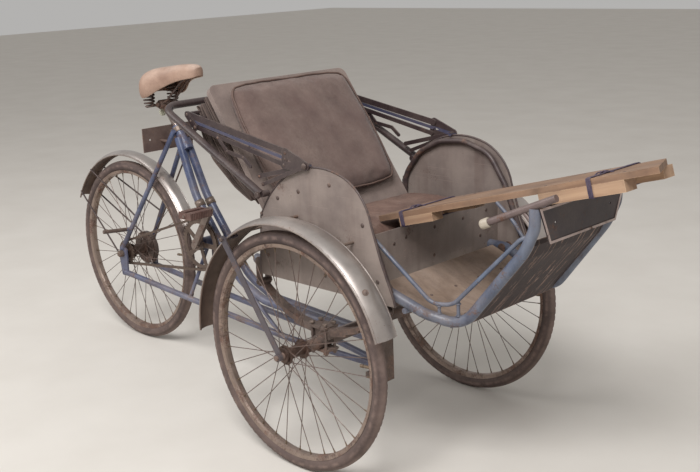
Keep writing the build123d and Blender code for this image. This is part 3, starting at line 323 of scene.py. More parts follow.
# Rust starts in small spots and joins into patches, from orange-brown to nearly black.
rust_bloom, given = effect("rust_bloom", Spread=0.5, Patch=14.0)
here = lay(rust_bloom, "TexCoord", out="Object")
spots = here.mottle(210.0, 4.0, 0.6)
tally = here.mottle(given["Patch"], 9.0, 0.7) * 0.75 + spots * 0.25
start = given["Spread"].between(0.0, 1.0, 0.72, 0.22)
mask = tally.between(start, start + 0.09)
ember = mixed(here.mottle(70.0, 6.0, 0.6).between(0.3, 0.72), (48, 35, 33), (116, 82, 66))
give_out(rust_bloom, Mask=mask, Colour=ember, Pits=spots * mask)


def rusted(here, spread, patch):
    """Where rust has bloomed, its colour and its pits."""
    mask = here.lay("Group", {"Spread": spread, "Patch": patch}, "Mask", node_tree=rust_bloom)
    return mask, mask.also("Colour"), mask.also("Pits")


def aged(skin, rust_look, dust_look):
    """A surface colour under rust and then dust, with where each lies and how deep the rust is pitted."""
    bloom, rust, pits = rusted(skin, *rust_look)
    colour, film = dusted(mixed(bloom, skin, rust), *dust_look)
    return colour, bloom, film, pits


def wheel_steel(name, centre):
    """Old plating on the rim, grey wire spokes and a greasy hub, all browned by rust and dust."""
    steel, here = finish(name + "_wheel_steel")
    radius = off_axle(here, centre)
    on_rim, on_hub = radius.between(0.2815, 0.2835), radius.between(0.034, 0.030)
    patch = here.mottle(24.0, 6.0)
    wire = mixed(patch, (70, 58, 58), (132, 118, 112))
    plated = mixed(patch, (104, 87, 79), (176, 158, 146))
    greasy = mixed(patch, (46, 36, 34), (92, 72, 64))
    metal = mixed(on_hub, mixed(on_rim, wire, plated), greasy)
    bloom, rust, pits = rusted(here, 0.5, 11.0)
    bloom = bloom * (on_rim | 0.55)
    colour, film = dusted(mixed(bloom, metal, rust), 0.24, 16.0)
    bare = (1.0 - bloom).held() * (0.85 - film).held()
    rough = (bloom + film).between(0.0, 1.0, 0.34, 0.85)
    return coat(steel, colour, rough, pits, 0.4, 0.0005, Metallic=bare * 0.95)


def dress(material, *nodes):
    """A finish on pieces that the CAD made."""
    for node in nodes:
        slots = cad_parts[node].data.materials
        slots.clear()
        slots.append(material)


def ring_round(centre, run, radius, sides, square):
    """Points in a ring about a run, from the side that square gives."""
    other = run.cross(square)
    angles = [2 * math.pi * side / sides for side in range(sides)]
    return [centre + (square * math.cos(a) + other * math.sin(a)) * radius for a in angles]


def skin_over(rings, start, end):
    """Points and faces of a closed skin over rings of points, drawn to a point at each end."""
    around = len(rings[0])
    points = [start, *[point for ring in rings for point in ring], end]
    last = len(points) - 1
    faces = [tuple(corner + 1 for corner in face) for face in grid_faces(len(rings), around, False)]
    for side in range(around):
        beside = (side + 1) % around
        faces += [(0, 1 + beside, 1 + side), (last, last - around + side, last - around + beside)]
    return points, faces


def turned(profile, start, run, sides):
    """A small turned piece: (distance along the run, radius) from end to end."""
    start, run = Vector(start), Vector(run).normalized()
    square = run.orthogonal().normalized()
    rings = [ring_round(start + run * along, run, radius, sides, square) for along, radius in profile]
    return skin_over(rings, start + run * profile[0][0], start + run * profile[-1][0])


def gathered(name, parts, body, material, slot, smooth=True):
    """Several closed shapes as one piece."""
    points, faces = [], []
    for part_points, part_faces in parts:
        faces += [tuple(i + len(points) for i in face) for face in part_faces]
        points += part_points
    return new_piece(name, points, faces, body, material, slot, smooth)


def smeared(name, grain, dark, light, dust_amount, patch, rough, **others):
    """A plain finish in two mottled tones, duller where dust lies on it."""
    material, here = finish(name)
    colour, film = dusted(mixed(here.mottle(*grain), dark, light), dust_amount, patch)
    return coat(material, colour, film.between(0.0, 0.5, *rough), **others)


brass = smeared("dull_brass", (90.0, 6.0), (76, 63, 50), (128, 109, 84), 0.4, 30.0, (0.45, 0.8), Metallic=0.7)
for name, (centre, body) in wheels.items():
    dress(wheel_steel(name, centre), name + "_wheel")
    parts = []
    step = 2 * math.pi / SPOKES_A_SIDE
    for side in (-1, 1):
        for hole in range(SPOKES_A_SIDE):
            way = 1 if hole % 2 else -1
            at_hub = hole * step + (step / 2 if side > 0 else 0)
            at_rim = at_hub + way * SPOKE_CROSSES * step
            head = round_axle(at_hub, SPOKE_HOLE_R, side * FLANGE_Y[name] + way * SPOKE_HEAD_OUT)
            foot = round_axle(at_rim, SPOKE_FOOT_R, side * SPOKE_FOOT_Y)
            parts.append(turned(NIPPLE, centre + foot, head - foot, 8))
    outward = round_axle(step / 4)
    parts.append(turned(VALVE, centre + outward * RIM_INNER_R, -outward, 12))
    gathered(name + "_nipples", parts, body, brass, "bright_steel", False)


# Axle beam, springs and kingpin
# Black forged and rolled steel under the box: the beam with its stub axles, the leaf springs clamped
# on it by U-bolts, their shackles, and the bracket that holds the kingpin. Grease has caught the dust.

# Wear shows where a sharp edge is rubbed: there the surface's own direction and that of the same
# surface with its edges rounded part company.
edge_wear, given = effect("edge_wear", Reach=0.0015, Amount=0.6, Grain=60.0)
here = lay(edge_wear, "TexCoord", out="Object")
rounded = here.lay("Bevel", {"Radius": given["Reach"]}, samples=4)
agreement = rounded.vector("DOT_PRODUCT", here.lay("NewGeometry", out="Normal"), "Value")
off = (1.0 - agreement).between(0.004, 0.12) * here.mottle(given["Grain"], 5.0, 0.6).between(0.38, 0.6)
give_out(edge_wear, Mask=(off * given["Amount"]).held())


def worn_edges(here, amount, reach=0.0015, grain=60.0):
    sockets = {"Reach": reach, "Amount": amount, "Grain": grain}
    return here.lay("Group", sockets, "Mask", node_tree=edge_wear)


def old_steel(name, dark, light, rust_spread, metal, dust_amount, rough=(0.42, 0.85)):
    """Unpainted or blackened steel: two tones of its own, edges rubbed bright, rust and dust."""
    steel, here = finish(name)
    skin = mixed(worn_edges(here, 0.7), mixed(here.mottle(36.0, 6.0), dark, light), (156, 140, 130))
    colour, bloom, film, pits = aged(skin, (rust_spread, 20.0), (dust_amount, 14.0))
    spoiled = bloom + film
    clear = (1.0 - spoiled).held() * metal
    rough = spoiled.between(0.0, 1.0, *rough)
    return coat(steel, colour, rough, pits + here.mottle(260.0, 3.0), 0.25, 0.0008, Metallic=clear)


forged = old_steel("forged_steel", (44, 36, 38), (84, 68, 64), 0.5, 0.35, 0.6)
dress(forged, "axle_beam", "kingpin_bracket", "leaf_springs", "spring_hangers")
bolt_steel = old_steel("bolt_steel", (96, 84, 78), (140, 124, 112), 0.42, 0.7, 0.4)


def hexagon(centre, out, across_flats, height):
    """A chamfered nut or bolt head standing on a face."""
    reach = across_flats / math.sqrt(3)
    return turned([(0, reach), (height * 0.8, reach), (height, reach * 0.82)], centre, out, 6)


def washer(centre, out, radius, height):
    return turned([(0, radius), (height, radius)], centre, out, 20)


def row(x, y, z):
    """A place given as the part's source gives it, in millimetres from the front axle."""
    return Vector((x / 1000 + FRONT_AXLE_X, y / 1000, z / 1000))


SHACKLE_X, SHACKLE_Z = 235, 462
SIDE_TUBE_Y = 258
U_BOLT_TOP = 385
parts = []
for side in (-1, 1):
    for way in (-1, 1):
        for end in (-1, 1):
            eye = row(end * SHACKLE_X, side * SIDE_TUBE_Y + way * 18, SHACKLE_Z)
            parts.append(hexagon(eye, (0, way, 0), 0.015, 0.007))
        for along in (-25, 25):
            leg = row(along, side * SIDE_TUBE_Y + way * 16.7, U_BOLT_TOP)
            parts.append(hexagon(leg, (0, 0, 1), 0.0125, 0.006))
gathered("spring_nuts", parts, "front_carriage", bolt_steel, "bright_steel", False)


# Side tubes, cross tubes, thin rails and grab rods
# Two thick steel tubes bent down to the footwell and up to the nose, brazed to cross tubes, with thin
# rails above them. All are brushed by hand in grey-blue enamel that has chalked, chipped and rusted.


def chipped_off(here, chips, worn):
    """Where paint is gone: chips in some places only, and rubbed edges."""
    size, start, patch = chips
    flakes = here.mottle(size, 6.0, 0.7).between(start, 0.64)
    return flakes * here.mottle(patch, 2.0).between(0.42, 0.55) | worn_edges(here, *worn)


def rusting_enamel(enamel, here, paint, bare, scar, spread, patch, dust_amount, gloss, relief):
    """Brushed paint gone in chips down to rusty steel, with rust bleeding over it and dust on it all."""
    bloom, rust, pits = rusted(here, spread, patch)
    skin = mixed(bloom * 0.8, mixed(bare, paint, mixed(*scar, rust)), rust)
    colour, film = dusted(skin, dust_amount, 8.0, (160, 140, 124))
    dull = bare * 0.3 + film * 0.5 + bloom
    return coat(enamel, colour, dull.between(0.0, 0.8, gloss, 0.8), relief + pits)


chalked_enamel, here = finish("chalked_enamel")
strokes = here.stretched((1.0, 1.0, 0.35)).mottle(30.0, 8.0, 0.65)
paint = mixed(strokes.between(0.3, 0.7), (50, 58, 80), (96, 110, 132))
paint = mixed(here.mottle(5.0, 5.0).between(0.45, 0.7, 0.0, 0.5), paint, (118, 122, 130))
bare = chipped_off(here, (75.0, 0.61, 7.0), (0.85, 0.002, 90.0))
relief = strokes * 0.5 - bare
rusting_enamel(chalked_enamel, here, paint, bare, (0.7, (92, 78, 74)), 0.36, 18.0, 0.42, 0.34, relief)
dress(chalked_enamel, "side_tubes", "cross_tubes", "foot_rails")
dress(old_steel("handled_steel", (84, 70, 70), (128, 112, 110), 0.35, 0.35, 0.35), "grab_rods")

# A grab rod ends in a round cap painted pale grey-cream: its own grey lifted by a painted highlight of its
# shine.
NOSE_Y = 180
CAP_R = 0.0127
CAP = (
    (-0.0135, 0.006), (-0.0128, 0.0095), (-0.0095, 0.0121), (-0.006, CAP_R), (0.0105, CAP_R),
    (0.0128, 0.0115), (0.0132, 0.0092),
)
# The cap's pale tone is partly a painted highlight.
pale_cap = smeared("pale_highlit_cap", (60.0, 5.0), (148, 138, 124), (200, 190, 174), 0.15, 40.0, (0.3, 0.6))
parts = [turned(CAP, row(500, side * (NOSE_Y + 3), 722), (200, 0, 87), 20) for side in (-1, 1)]
gathered("grab_rod_caps", parts, "front_carriage", pale_cap, "plate_paint")


def weld_bead(centre, out, radius, size, lumps, seed):
    """The small uneven ring of brazing where a tube meets another."""
    out = Vector(out).normalized()
    square = out.orthogonal().normalized()
    other = out.cross(square)
    draw = random.Random(seed)
    rings = []
    around = 8
    for lump in range(lumps * 2):
        turn = math.pi * lump / lumps
        arm = square * math.cos(turn) + other * math.sin(turn)
        swell = size * ((1.1 if lump % 2 else 0.85) + draw.uniform(-0.08, 0.08))
        rings += ring_round(Vector(centre) + arm * radius, arm.cross(out), swell, around, arm)
    return rings, grid_faces(lumps * 2, around)


# Each joint has its place, the way out of it and the tube's radius there.
CARRIAGE_JOINTS = (
    (385, 222, 482, (0, 0, 1), 5.4), (432, 205, 481, (0, 0, 1), 5.4),
    (-204, 244, 525, (0, 1, 0), 12), (158, 244, 525, (0, 1, 0), 12),
    (640, 166, 771, (0, 1, 0), 9), (385, 222, 501, (0, 0, 1), 5.4), (432, 205, 512, (0, 0, 1), 5.4),
)
parts = []
for side in (-1, 1):
    for seed, (x, y, z, out, radius) in enumerate(CARRIAGE_JOINTS):
        parts.append(weld_bead(row(x, side * y, z), out, radius / 1000, 0.0018, 20, seed))
gathered("carriage_brazing", parts, "front_carriage", chalked_enamel, "frame_paint")


# Footwell floor, front board and its plate
# The floor is thin planking gone the colour of sand under many feet. The board up to the nose was
# painted nearly black over slats whose edges are painted pale, partly worn paint and partly a painted
# highlight, and a blank plate closes the nose.

# Long fine pores and slow bands run along the wood; the group's place has x along the grain.
wood_grain, given = effect(
    "wood_grain", Place=(0.0, 0.0, 0.0), Light=(206, 172, 134), Dark=(146, 108, 78), Knots=0.5
)
place = given["Place"]
bands = place.stretched((1.6, 26.0, 26.0)).vector("ADD", place.mottle(3.0, 3.0)).mottle(1.6, 6.0, 0.5, 0.6)
pores = place.stretched((9.0, 330.0, 330.0)).mottle(1.0, 3.0, 0.7)
tone = bands.between(0.3, 0.7) * 0.7 + pores * 0.3
blot = place.mottle(6.0, 6.0, 0.6).between(0.52, 0.72) * given["Knots"]
stained = mixed(blot, mixed(tone, given["Light"], given["Dark"]), (98, 76, 62))
give_out(wood_grain, Colour=stained, Height=1.0 - (pores * 0.7 + bands * 0.3))


def grained(place, light, dark, knots):
    """The colour and the height of wood at a place that has x along the grain."""
    sockets = {"Place": place, "Light": light, "Dark": dark, "Knots": knots}
    colour = place.lay("Group", sockets, "Colour", node_tree=wood_grain)
    return colour, colour.also("Height")


def timber(name, light, dark, knots, dust_amount, turn=(0.0, 0.0, 0.0), worn=(214, 186, 152)):
    """Bare or oiled wood: its grain runs along x after a turn, its edges are rubbed pale."""
    wood, here = finish(name)
    grain, height = grained(here.stretched(turn=turn), light, dark, knots)
    colour = dusted(mixed(worn_edges(here, 0.5, 0.003, 45.0), grain, worn), dust_amount, 10.0)[0]
    return coat(wood, colour, here.mottle(22.0, 4.0).between(0.2, 0.8, 0.62, 0.85), height, 0.4, 0.0008)


trodden = timber("trodden_planking", (158, 136, 118), (116, 96, 82), 0.75, 0.6, worn=(188, 162, 138))
dress(trodden, "footwell_floor")

# The edges of the five slats are painted pale, partly worn paint and partly a painted highlight along their
# ridges; elsewhere the black paint has gone in flakes.
SLAT_MIDDLES = (0.0, 0.0756, 0.1404)
BOARD_SLOPE = 0.93
painted_board, here = finish("blackened_board")
climb = here.stretched(turn=(0.0, BOARD_SLOPE, 0.0))
grain, height = grained(climb, (186, 160, 146), (128, 102, 92), 0.3)
black = mixed(here.mottle(24.0, 6.0), (26, 14, 18), (48, 31, 33))
drawn = climb.stretched((0.22, 1.0, 1.0))
off_slats = [abs(abs(here.axis("Y")) - middle) for middle in SLAT_MIDDLES]
off_slat = off_slats[0] & off_slats[1] & off_slats[2]
# Pale slat edges: worn paint and a painted highlight along the ridges.
worn_highlit_slat_edge = off_slat.between(0.0075, 0.0105) * (off_slat < 0.0116)
worn_highlit_slat_edge = worn_highlit_slat_edge * drawn.mottle(30.0, 6.0, 0.7).between(0.43, 0.55)
flaked = drawn.mottle(60.0, 7.0, 0.7).between(0.58, 0.62) * 0.7
rubbed = worn_edges(here, 1.0, 0.0035, 38.0) | flaked | worn_highlit_slat_edge
colour, film = dusted(mixed(rubbed, black, grain), 0.12, 9.0)
rough = (rubbed + film).between(0.0, 1.0, 0.5, 0.85)
coat(painted_board, colour, rough, height - rubbed, 0.4, 0.0008, Specular_IOR_Level=0.25)
dress(painted_board, "front_board")

# The plate's raised rim is painted off-white; the field inside it is blank dark enamel.
PLATE_RIM_X = 0.9741
plate_enamel, here = finish("plate_enamel")
on_rim = here.axis("X").between(PLATE_RIM_X, PLATE_RIM_X + 0.0002)
field = mixed(here.mottle(18.0, 7.0, 0.65), (28, 20, 26), (50, 38, 44))
rim = mixed(here.mottle(34.0, 6.0), (142, 124, 122), (190, 174, 166))
colour, bloom, film, pits = aged(mixed(on_rim, field, rim), (0.33, 22.0), (0.22, 12.0))
coat(plate_enamel, colour, (bloom + film).between(0.0, 1.0, 0.36, 0.8), pits + here.mottle(120.0, 4.0), 0.25)
dress(plate_enamel, "front_plate")


def dome(centre, out, radius, height, sides=14):
    """A rivet's or a screw's low round head."""
    steps = [(height * math.sin(a), radius * math.cos(a)) for a in (0, 0.45, 0.9, 1.3)]
    return turned([(-0.0006, radius), *steps], centre, out, sides)


# Screws hold the floor down on the cross tubes and the board to its slats.
FLOOR_X, FLOOR_TOP = (206, 352, 440), (530, 476, 464)
BOARD_FOOT = Vector((440, 0, 466))
SCREW_STANDS = 0.3
SCREW_HEAD = (0.0045, 0.0018)
board_rise = Vector((598, 0, 655)) - BOARD_FOOT
board_out = Vector((-board_rise.z, 0, board_rise.x))
parts = []
for y in (-150, -50, 50, 150):
    for x in (300, 412):
        top = float(np.interp(x, FLOOR_X, FLOOR_TOP))
        parts.append(dome(row(x, y, top + SCREW_STANDS), (0.12, 0, 1), *SCREW_HEAD))
    for along in (0.12, 0.85):
        spot = BOARD_FOOT + board_rise * along
        parts.append(dome(row(spot.x, y, spot.z + SCREW_STANDS), board_out, *SCREW_HEAD))
gathered("footwell_screws", parts, "front_carriage", forged, "dark_steel")


# Sheet sides of the passenger box
# Two pressed steel sheets with arched armrests, edges rolled over a wire and a row of rivets inside
# the roll. They were painted grey-brown and are scratched, dusty and rusted at the rivets.

BOX_HALF = 296
PANEL_SHEET = 2
ROLL_R = 0.003
panel_paint, here = finish("box_sheet_paint")
clouds = here.mottle(6.0, 8.0, 0.6)
paint = mixed(clouds.between(0.3, 0.7), (108, 96, 92), (144, 131, 124))
runs = here.stretched((26.0, 26.0, 1.6)).mottle(1.0, 4.0).between(0.5, 0.75)
paint = mixed(runs * 0.45, paint, (88, 68, 62))
scored = here.stretched((3.0, 40.0, 160.0), (0.0, 0.5, 0.0)).mottle(1.4, 2.0).between(0.66, 0.7)
bare = scored * 0.5 | worn_edges(here, 0.9, 0.002, 70.0)
skin = mixed(bare, paint, (158, 142, 134))
colour, bloom, film, pits = aged(skin, (0.26, 9.0), (0.5, 6.0, (162, 148, 138)))
rough = (bloom + film + clouds).between(0.4, 1.4, 0.4, 0.75)
dents = here.mottle(4.5, 2.0) * 6.0
coat(panel_paint, colour, rough, dents + pits - bare, 0.25, 0.0012, Metallic=bare * 0.5)
dress(panel_paint, "side_panel_left", "side_panel_right", "seat_front_panel")

dark_edge = old_steel("darkened_edge", (46, 38, 42), (80, 66, 66), 0.42, 0.2, 0.35)
dress(dark_edge, "armrest_hoops")


def through_three(first, middle, last, steps=8):
    """Points along the arc of a circle through three points, without the last."""
    (ax, az), (bx, bz), (cx, cz) = first, middle, last
    twice = 2 * (ax * (bz - cz) + bx * (cz - az) + cx * (az - bz))
    fa, fb, fc = ax * ax + az * az, bx * bx + bz * bz, cx * cx + cz * cz
    ux = (fa * (bz - cz) + fb * (cz - az) + fc * (az - bz)) / twice
    uz = (fa * (cx - bx) + fb * (ax - cx) + fc * (bx - ax)) / twice
    begin, half, end = (math.atan2(z - uz, x - ux) for x, z in (first, middle, last))
    turn = (end - begin) % (2 * math.pi)
    if (half - begin) % (2 * math.pi) > turn:
        turn -= 2 * math.pi
    radius = math.hypot(ax - ux, az - uz)
    angles = [begin + turn * step / steps for step in range(steps)]
    return [(ux + radius * math.cos(a), uz + radius * math.sin(a)) for a in angles]


def run_of_tube(path, radius, sides=10):
    """A round tube along points, drawn to a low point at each end."""
    path = [Vector(p) for p in path]
    rings, square = [], None
    for at, point in enumerate(path):
        ahead = (path[min(at + 1, len(path) - 1)] - path[max(at - 1, 0)]).normalized()
        square = ahead.orthogonal() if square is None else square
        square = (square - ahead * square.dot(ahead)).normalized()
        rings.append(ring_round(point, ahead, radius, sides, square))
    ends = (path[0], path[1]), (path[-1], path[-2])
    return skin_over(rings, *[end + (end - inner).normalized() * radius * 0.5 for end, inner in ends])


panel_edge = [(-200, 502), (-197, 545), (-191, 610)]
panel_edge += through_three((-186, 668), (-118, 758), (-60, 800))
panel_edge += through_three((-60, 800), (40, 828), (118, 820))
panel_edge += through_three((118, 820), (190, 780), (232, 700))
panel_edge += [(232, 700), (247, 655), (262, 610), (281, 565), (300, 522), (305, 502)]
PANEL_RIVETS = (
    (-182, 675), (-112, 728), (-29, 756), (89, 787), (203, 697), (249, 557), (-165, 560), (60, 540),
)
for side, name in ((1, "left"), (-1, "right")):
    roll = run_of_tube([row(x, side * (BOX_HALF + PANEL_SHEET / 2), z) for x, z in panel_edge], ROLL_R)
    new_piece(f"panel_roll_{name}", *roll, "front_carriage", dark_edge, "box_paint")
    outer = side * (BOX_HALF + PANEL_SHEET)
    parts = [dome(row(x, outer, z), (0, side, 0), 0.0062, 0.0024) for x, z in PANEL_RIVETS]
    gathered(f"panel_rivets_{name}", parts, "front_carriage", forged, "dark_steel")

# The seat's front panel is held by dark rivets of its own.
FRONT_PANEL_FACE = 181.5
FRONT_RIVETS = (
    (9, 627), (-110, 624), (-158, 616), (133, 627), (5, 548), (-212, 560), (212, 560), (-245, 630),
    (240, 630),
)
parts = [dome(row(FRONT_PANEL_FACE, y, z), (1, 0, 0), 0.0052, 0.002) for y, z in FRONT_RIVETS]
gathered("front_panel_rivets", parts, "front_carriage", forged, "dark_steel")


# Seat board, its bearers and the cushion
# A plank seat on two bearers carries a loose pad of brown leathercloth stuffed with fibre: crowned,
# pulled in between its corners and piped round its top edge.

ACROSS = (0.0, 0.0, 1.5708)
dark_timber = timber("seat_timber", (110, 84, 66), (66, 48, 40), 0.4, 0.5, ACROSS, (150, 122, 98))
dress(dark_timber, "seat_board", "seat_bearers")

# Leather and leathercloth: pebbled skin of small cells with fine creases between them.
hide_grain, given = effect("hide_grain", Cells=420.0, Creases=30.0)
here = lay(hide_grain, "TexCoord", out="Object")
sockets = {"Vector": here, "Scale": given["Cells"]}
pebbles = here.lay("TexVoronoi", sockets, "Distance", feature="DISTANCE_TO_EDGE").between(0.0, 0.25)
pulled = here.mottle(given["Creases"], 5.0, 0.5, 1.4)
crease = abs(pulled - 0.5).between(0.0, 0.035, 1.0, 0.0)
give_out(hide_grain, Creased=crease, Height=pebbles * 0.4 - crease)


def hide(name, dark, light, worn, cells, shine, crease_share=0.35):
    """Leather or leathercloth: mottled, paler where it is rubbed, dark in its creases."""
    skin, here = finish(name)
    grain = here.lay("Group", {"Cells": cells, "Creases": 26.0}, "Height", node_tree=hide_grain)
    tone = mixed(here.mottle(11.0, 7.0, 0.6).between(0.3, 0.7), dark, light)
    rubbed = here.also("Normal").axis("Z").between(0.2, 0.95) * here.mottle(7.0, 5.0).between(0.35, 0.65)
    tone = mixed(rubbed * 0.75, tone, worn)
    tone = mixed(grain.also("Creased") * crease_share, tone, (48, 34, 30))
    colour, film = dusted(tone, 0.22, 12.0)
    rough = (film + here.mottle(30.0, 4.0)).between(0.2, 1.0, shine, 0.85)
    return coat(skin, colour, rough, grain, 0.35, 0.0007)


leathercloth = hide("brown_leathercloth", (86, 62, 54), (112, 84, 74), (138, 112, 100), 300.0, 0.42)
piping_cloth = hide("piping_leathercloth", (64, 46, 42), (92, 68, 60), (124, 100, 88), 420.0, 0.45)
CLOTH_FRAMES = 20
PAD_CUTS, PAD_MESH = 15, 0.006


def evaluated(piece):
    return piece.evaluated_get(bpy.context.evaluated_depsgraph_get())


def apply_modifiers(piece):
    """The shape that the modifiers give becomes the piece's own mesh."""
    shaped = bpy.data.meshes.new_from_object(evaluated(piece))
    piece.modifiers.clear()
    piece.data = shaped


def points_of(mesh):
    """A mesh's points as the rows of an array."""
    flat = np.empty(len(mesh.vertices) * 3)
    mesh.vertices.foreach_get("co", flat)
    return flat.reshape(-1, 3)


def blow_up(pad, pressure, cap, floor):
    """Blows a pad up as cloth, no point of it further than a cap, and keeps it above its floor."""
    rest = points_of(pad.data)
    cloth = pad.modifiers.new("stuffing", "CLOTH")
    cloth.settings.use_pressure = True
    cloth.settings.uniform_pressure_force = pressure
    cloth.settings.effector_weights.gravity = 0
    cloth.settings.tension_stiffness = 12
    cloth.settings.bending_stiffness = 0.6
    cloth.point_cache.frame_end = CLOTH_FRAMES
    for at in range(1, CLOTH_FRAMES + 1):
        bpy.context.scene.frame_set(at)
    shift = points_of(evaluated(pad).to_mesh()) - rest
    pad.modifiers.clear()
    bpy.context.scene.frame_set(1)
    length = np.linalg.norm(shift, axis=1, keepdims=True)
    settled = rest + shift * np.minimum(1, cap / np.maximum(length, 1e-9))
    settled[:, 2] = np.maximum(settled[:, 2], floor)
    pad.data.vertices.foreach_set("co", settled.ravel())


def stuffed(name, low, high, pull, crown, pressure, cap, place=Matrix()):
    """A stuffed pad: a box with drawn-in sides and a crowned face, blown up as cloth over its filling.

    low and high are its corners before place puts it on the object. Its lowest face stays flat."""
    low, high = Vector(low), Vector(high)
    middle, half = (low + high) / 2, (high - low) / 2
    form = bmesh.new()
    bmesh.ops.create_cube(form, size=2)
    bmesh.ops.subdivide_edges(form, edges=form.edges[:], cuts=PAD_CUTS, use_grid_fill=True)
    for vert in form.verts:
        x, y, z = vert.co
        round_in = 1 - 0.10 * (x * x * y * y)
        edge_in = 1 - 0.05 * z * z
        waist_x = 1 - pull * (1 - y * y) * (1 - 0.4 * abs(x)) if abs(x) > 0.9 else 1
        waist_y = 1 - pull * (1 - x * x) * (1 - 0.4 * abs(y)) if abs(y) > 0.9 else 1
        top = crown * (1 - x ** 4) * (1 - y ** 4) if z > 0 else 0.0
        vert.co = (
            middle.x + half.x * x * waist_x * round_in * edge_in,
            middle.y + half.y * y * waist_y * round_in * edge_in,
            middle.z + half.z * z * (1 - 0.12 * max(abs(x), abs(y)) ** 8) + top,
        )
    pad = linked(name, bpy.data.meshes.new(name))
    form.to_mesh(pad.data)
    form.free()
    remesh = pad.modifiers.new("even_mesh", "REMESH")
    remesh.mode = "VOXEL"
    remesh.voxel_size = PAD_MESH
    apply_modifiers(pad)
    blow_up(pad, pressure, cap, low.z)
    pad.modifiers.new("even_skin", "SMOOTH").iterations = 4
    apply_modifiers(pad)
    pad.data.transform(place)
    pad.data.polygons.foreach_set("use_smooth", [True] * len(pad.data.polygons))
    pad.data.update()
    return pad


low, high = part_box("seat_cushion")
pad_low = Vector(low) + Vector((0.008, 0.010, 0.0))
pad_high = Vector(high) - Vector((0.008, 0.010, 0.012))
cushion = stuffed("leathercloth_cushion", pad_low, pad_high, 0.035, 0.008, 4.0, 0.010)
put_on(cushion, "front_carriage", leathercloth, "cushion_cloth")
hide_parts("seat_cushion")

PIPING_R = 0.0032
PIPING_KNOTS = 220
OUTLINE_WAYS = 96
along_a_way = math.cos(math.pi / OUTLINE_WAYS * 1.6)


def piping(name, loop):
    """A cord sewn into a pad's seam: a closed run of tube through its corner points, smoothed."""
    curve = bpy.data.curves.new(name, "CURVE")
    curve.dimensions = "3D"
    spline = curve.splines.new("NURBS")
    spline.points.add(len(loop) - 1)
    for point, place in zip(spline.points, loop):
        point.co = (*place, 1)
    spline.order_u = 4
    spline.use_cyclic_u = True
    spline.resolution_u = max(2, PIPING_KNOTS // len(loop))
    curve.bevel_depth = PIPING_R
    curve.bevel_resolution = 3
    line = linked(name + "_line", curve)
    cord = linked(name, bpy.data.meshes.new_from_object(evaluated(line)))
    bpy.data.objects.remove(line)
    cord.data.polygons.foreach_set("use_smooth", [True] * len(cord.data.polygons))
    put_on(cord, "front_carriage", piping_cloth, "cushion_cloth")


def outline_at(pad, height, place=Matrix()):
    """The outline of a pad at a height in its own frame: its outermost points in each direction."""
    back = place.inverted()
    near = [v for v in (back @ vert.co for vert in pad.data.vertices) if abs(v.z - height) < PAD_MESH]
    middle = sum(near, Vector()) / len(near)
    arms = [Vector((v.x - middle.x, v.y - middle.y, 0)) for v in near]
    loop = []
    for step in range(OUTLINE_WAYS):
        angle = 2 * math.pi * step / OUTLINE_WAYS
        way = Vector((math.cos(angle), math.sin(angle), 0))
        reaches = [arm.dot(way) for arm in arms if arm.normalized().dot(way) > along_a_way]
        if reaches:
            spot = middle + way * max(reaches)
            loop.append(place @ Vector((spot.x, spot.y, height)))
    return loop


piping("cushion_piping", outline_at(cushion, pad_high.z - 0.008))


# Backrest
# A board covered in brown canvas, with a thin stuffed pad in front of it. The pad's cover is laced
# round the board's sides, where a lighter strip shows, and its top edge sags between its corners.

BACK_FOOT = (-125, 596)
BACK_TOP = (-412, 1012)

# Plain weave: threads over and under each other along two directions of the cloth.
plain_weave, given = effect("plain_weave", Thread=2200.0)
here = lay(plain_weave, "TexCoord", out="Object")
bent = here.vector("ADD", here.mottle(6.0, 2.0))
wave_x, wave_y, wave_z = [(bent.axis(name) * given["Thread"]).sine() for name in "XYZ"]
give_out(plain_weave, Height=wave_x * wave_y + wave_y * wave_z)


def canvas(name, dark, light, faded):
    """Cotton canvas: mottled by damp and sun, paler on its folds, with painted shade in the low places of its
    weave.
    """
    cloth, here = finish(name)
    weave = here.lay("Group", out="Height", node_tree=plain_weave)
    tone = mixed(here.mottle(9.0, 8.0, 0.65).between(0.3, 0.7), dark, light)
    rubbed = worn_edges(here, 0.5, 0.004, 30.0) | here.mottle(4.0, 4.0).between(0.55, 0.75, 0.0, 0.6)
    # The low places of the weave are painted darker: painted shade between the threads.
    tone = mixed(weave.between(-1.0, 1.0, 0.16, 0.0), mixed(rubbed, tone, faded), (40, 30, 28))
    colour = dusted(tone, 0.45, 7.0)[0]
    return coat(cloth, colour, 0.88, weave + here.mottle(40.0, 4.0) * 3.0, Sheen_Weight=0.15)


back_canvas = canvas("brown_canvas", (84, 64, 60), (112, 90, 84), (134, 113, 105))
dress(canvas("faded_strip", (108, 93, 88), (142, 125, 118), (164, 148, 140)), "backrest_board")

rise = Vector(((BACK_TOP[0] - BACK_FOOT[0]) / 1000, 0, (BACK_TOP[1] - BACK_FOOT[1]) / 1000))
up_slope = rise.normalized()
face_out = Vector((up_slope.z, 0, -up_slope.x))
on_back = Matrix((up_slope, face_out.cross(up_slope), face_out)).transposed().to_4x4()
on_back.translation = row(BACK_FOOT[0], 0, BACK_FOOT[1])
back_low = (0.080, -0.258, 0.0004)
back_high = (rise.length - 0.010, 0.258, 0.036)
back_pad = stuffed("canvas_back_pad", back_low, back_high, 0.03, 0.006, 4.0, 0.009, on_back)
put_on(back_pad, "front_carriage", back_canvas, "cushion_cloth")
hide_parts("backrest_cushion")
piping("back_pad_piping", outline_at(back_pad, 0.029, on_back))


# Hood, folded back
# Brown canvas folded to and fro round three round bows behind the backrest. The bows hang from flat
# black bars at each side, three abreast and riveted at their ends, that turn on the armrests.

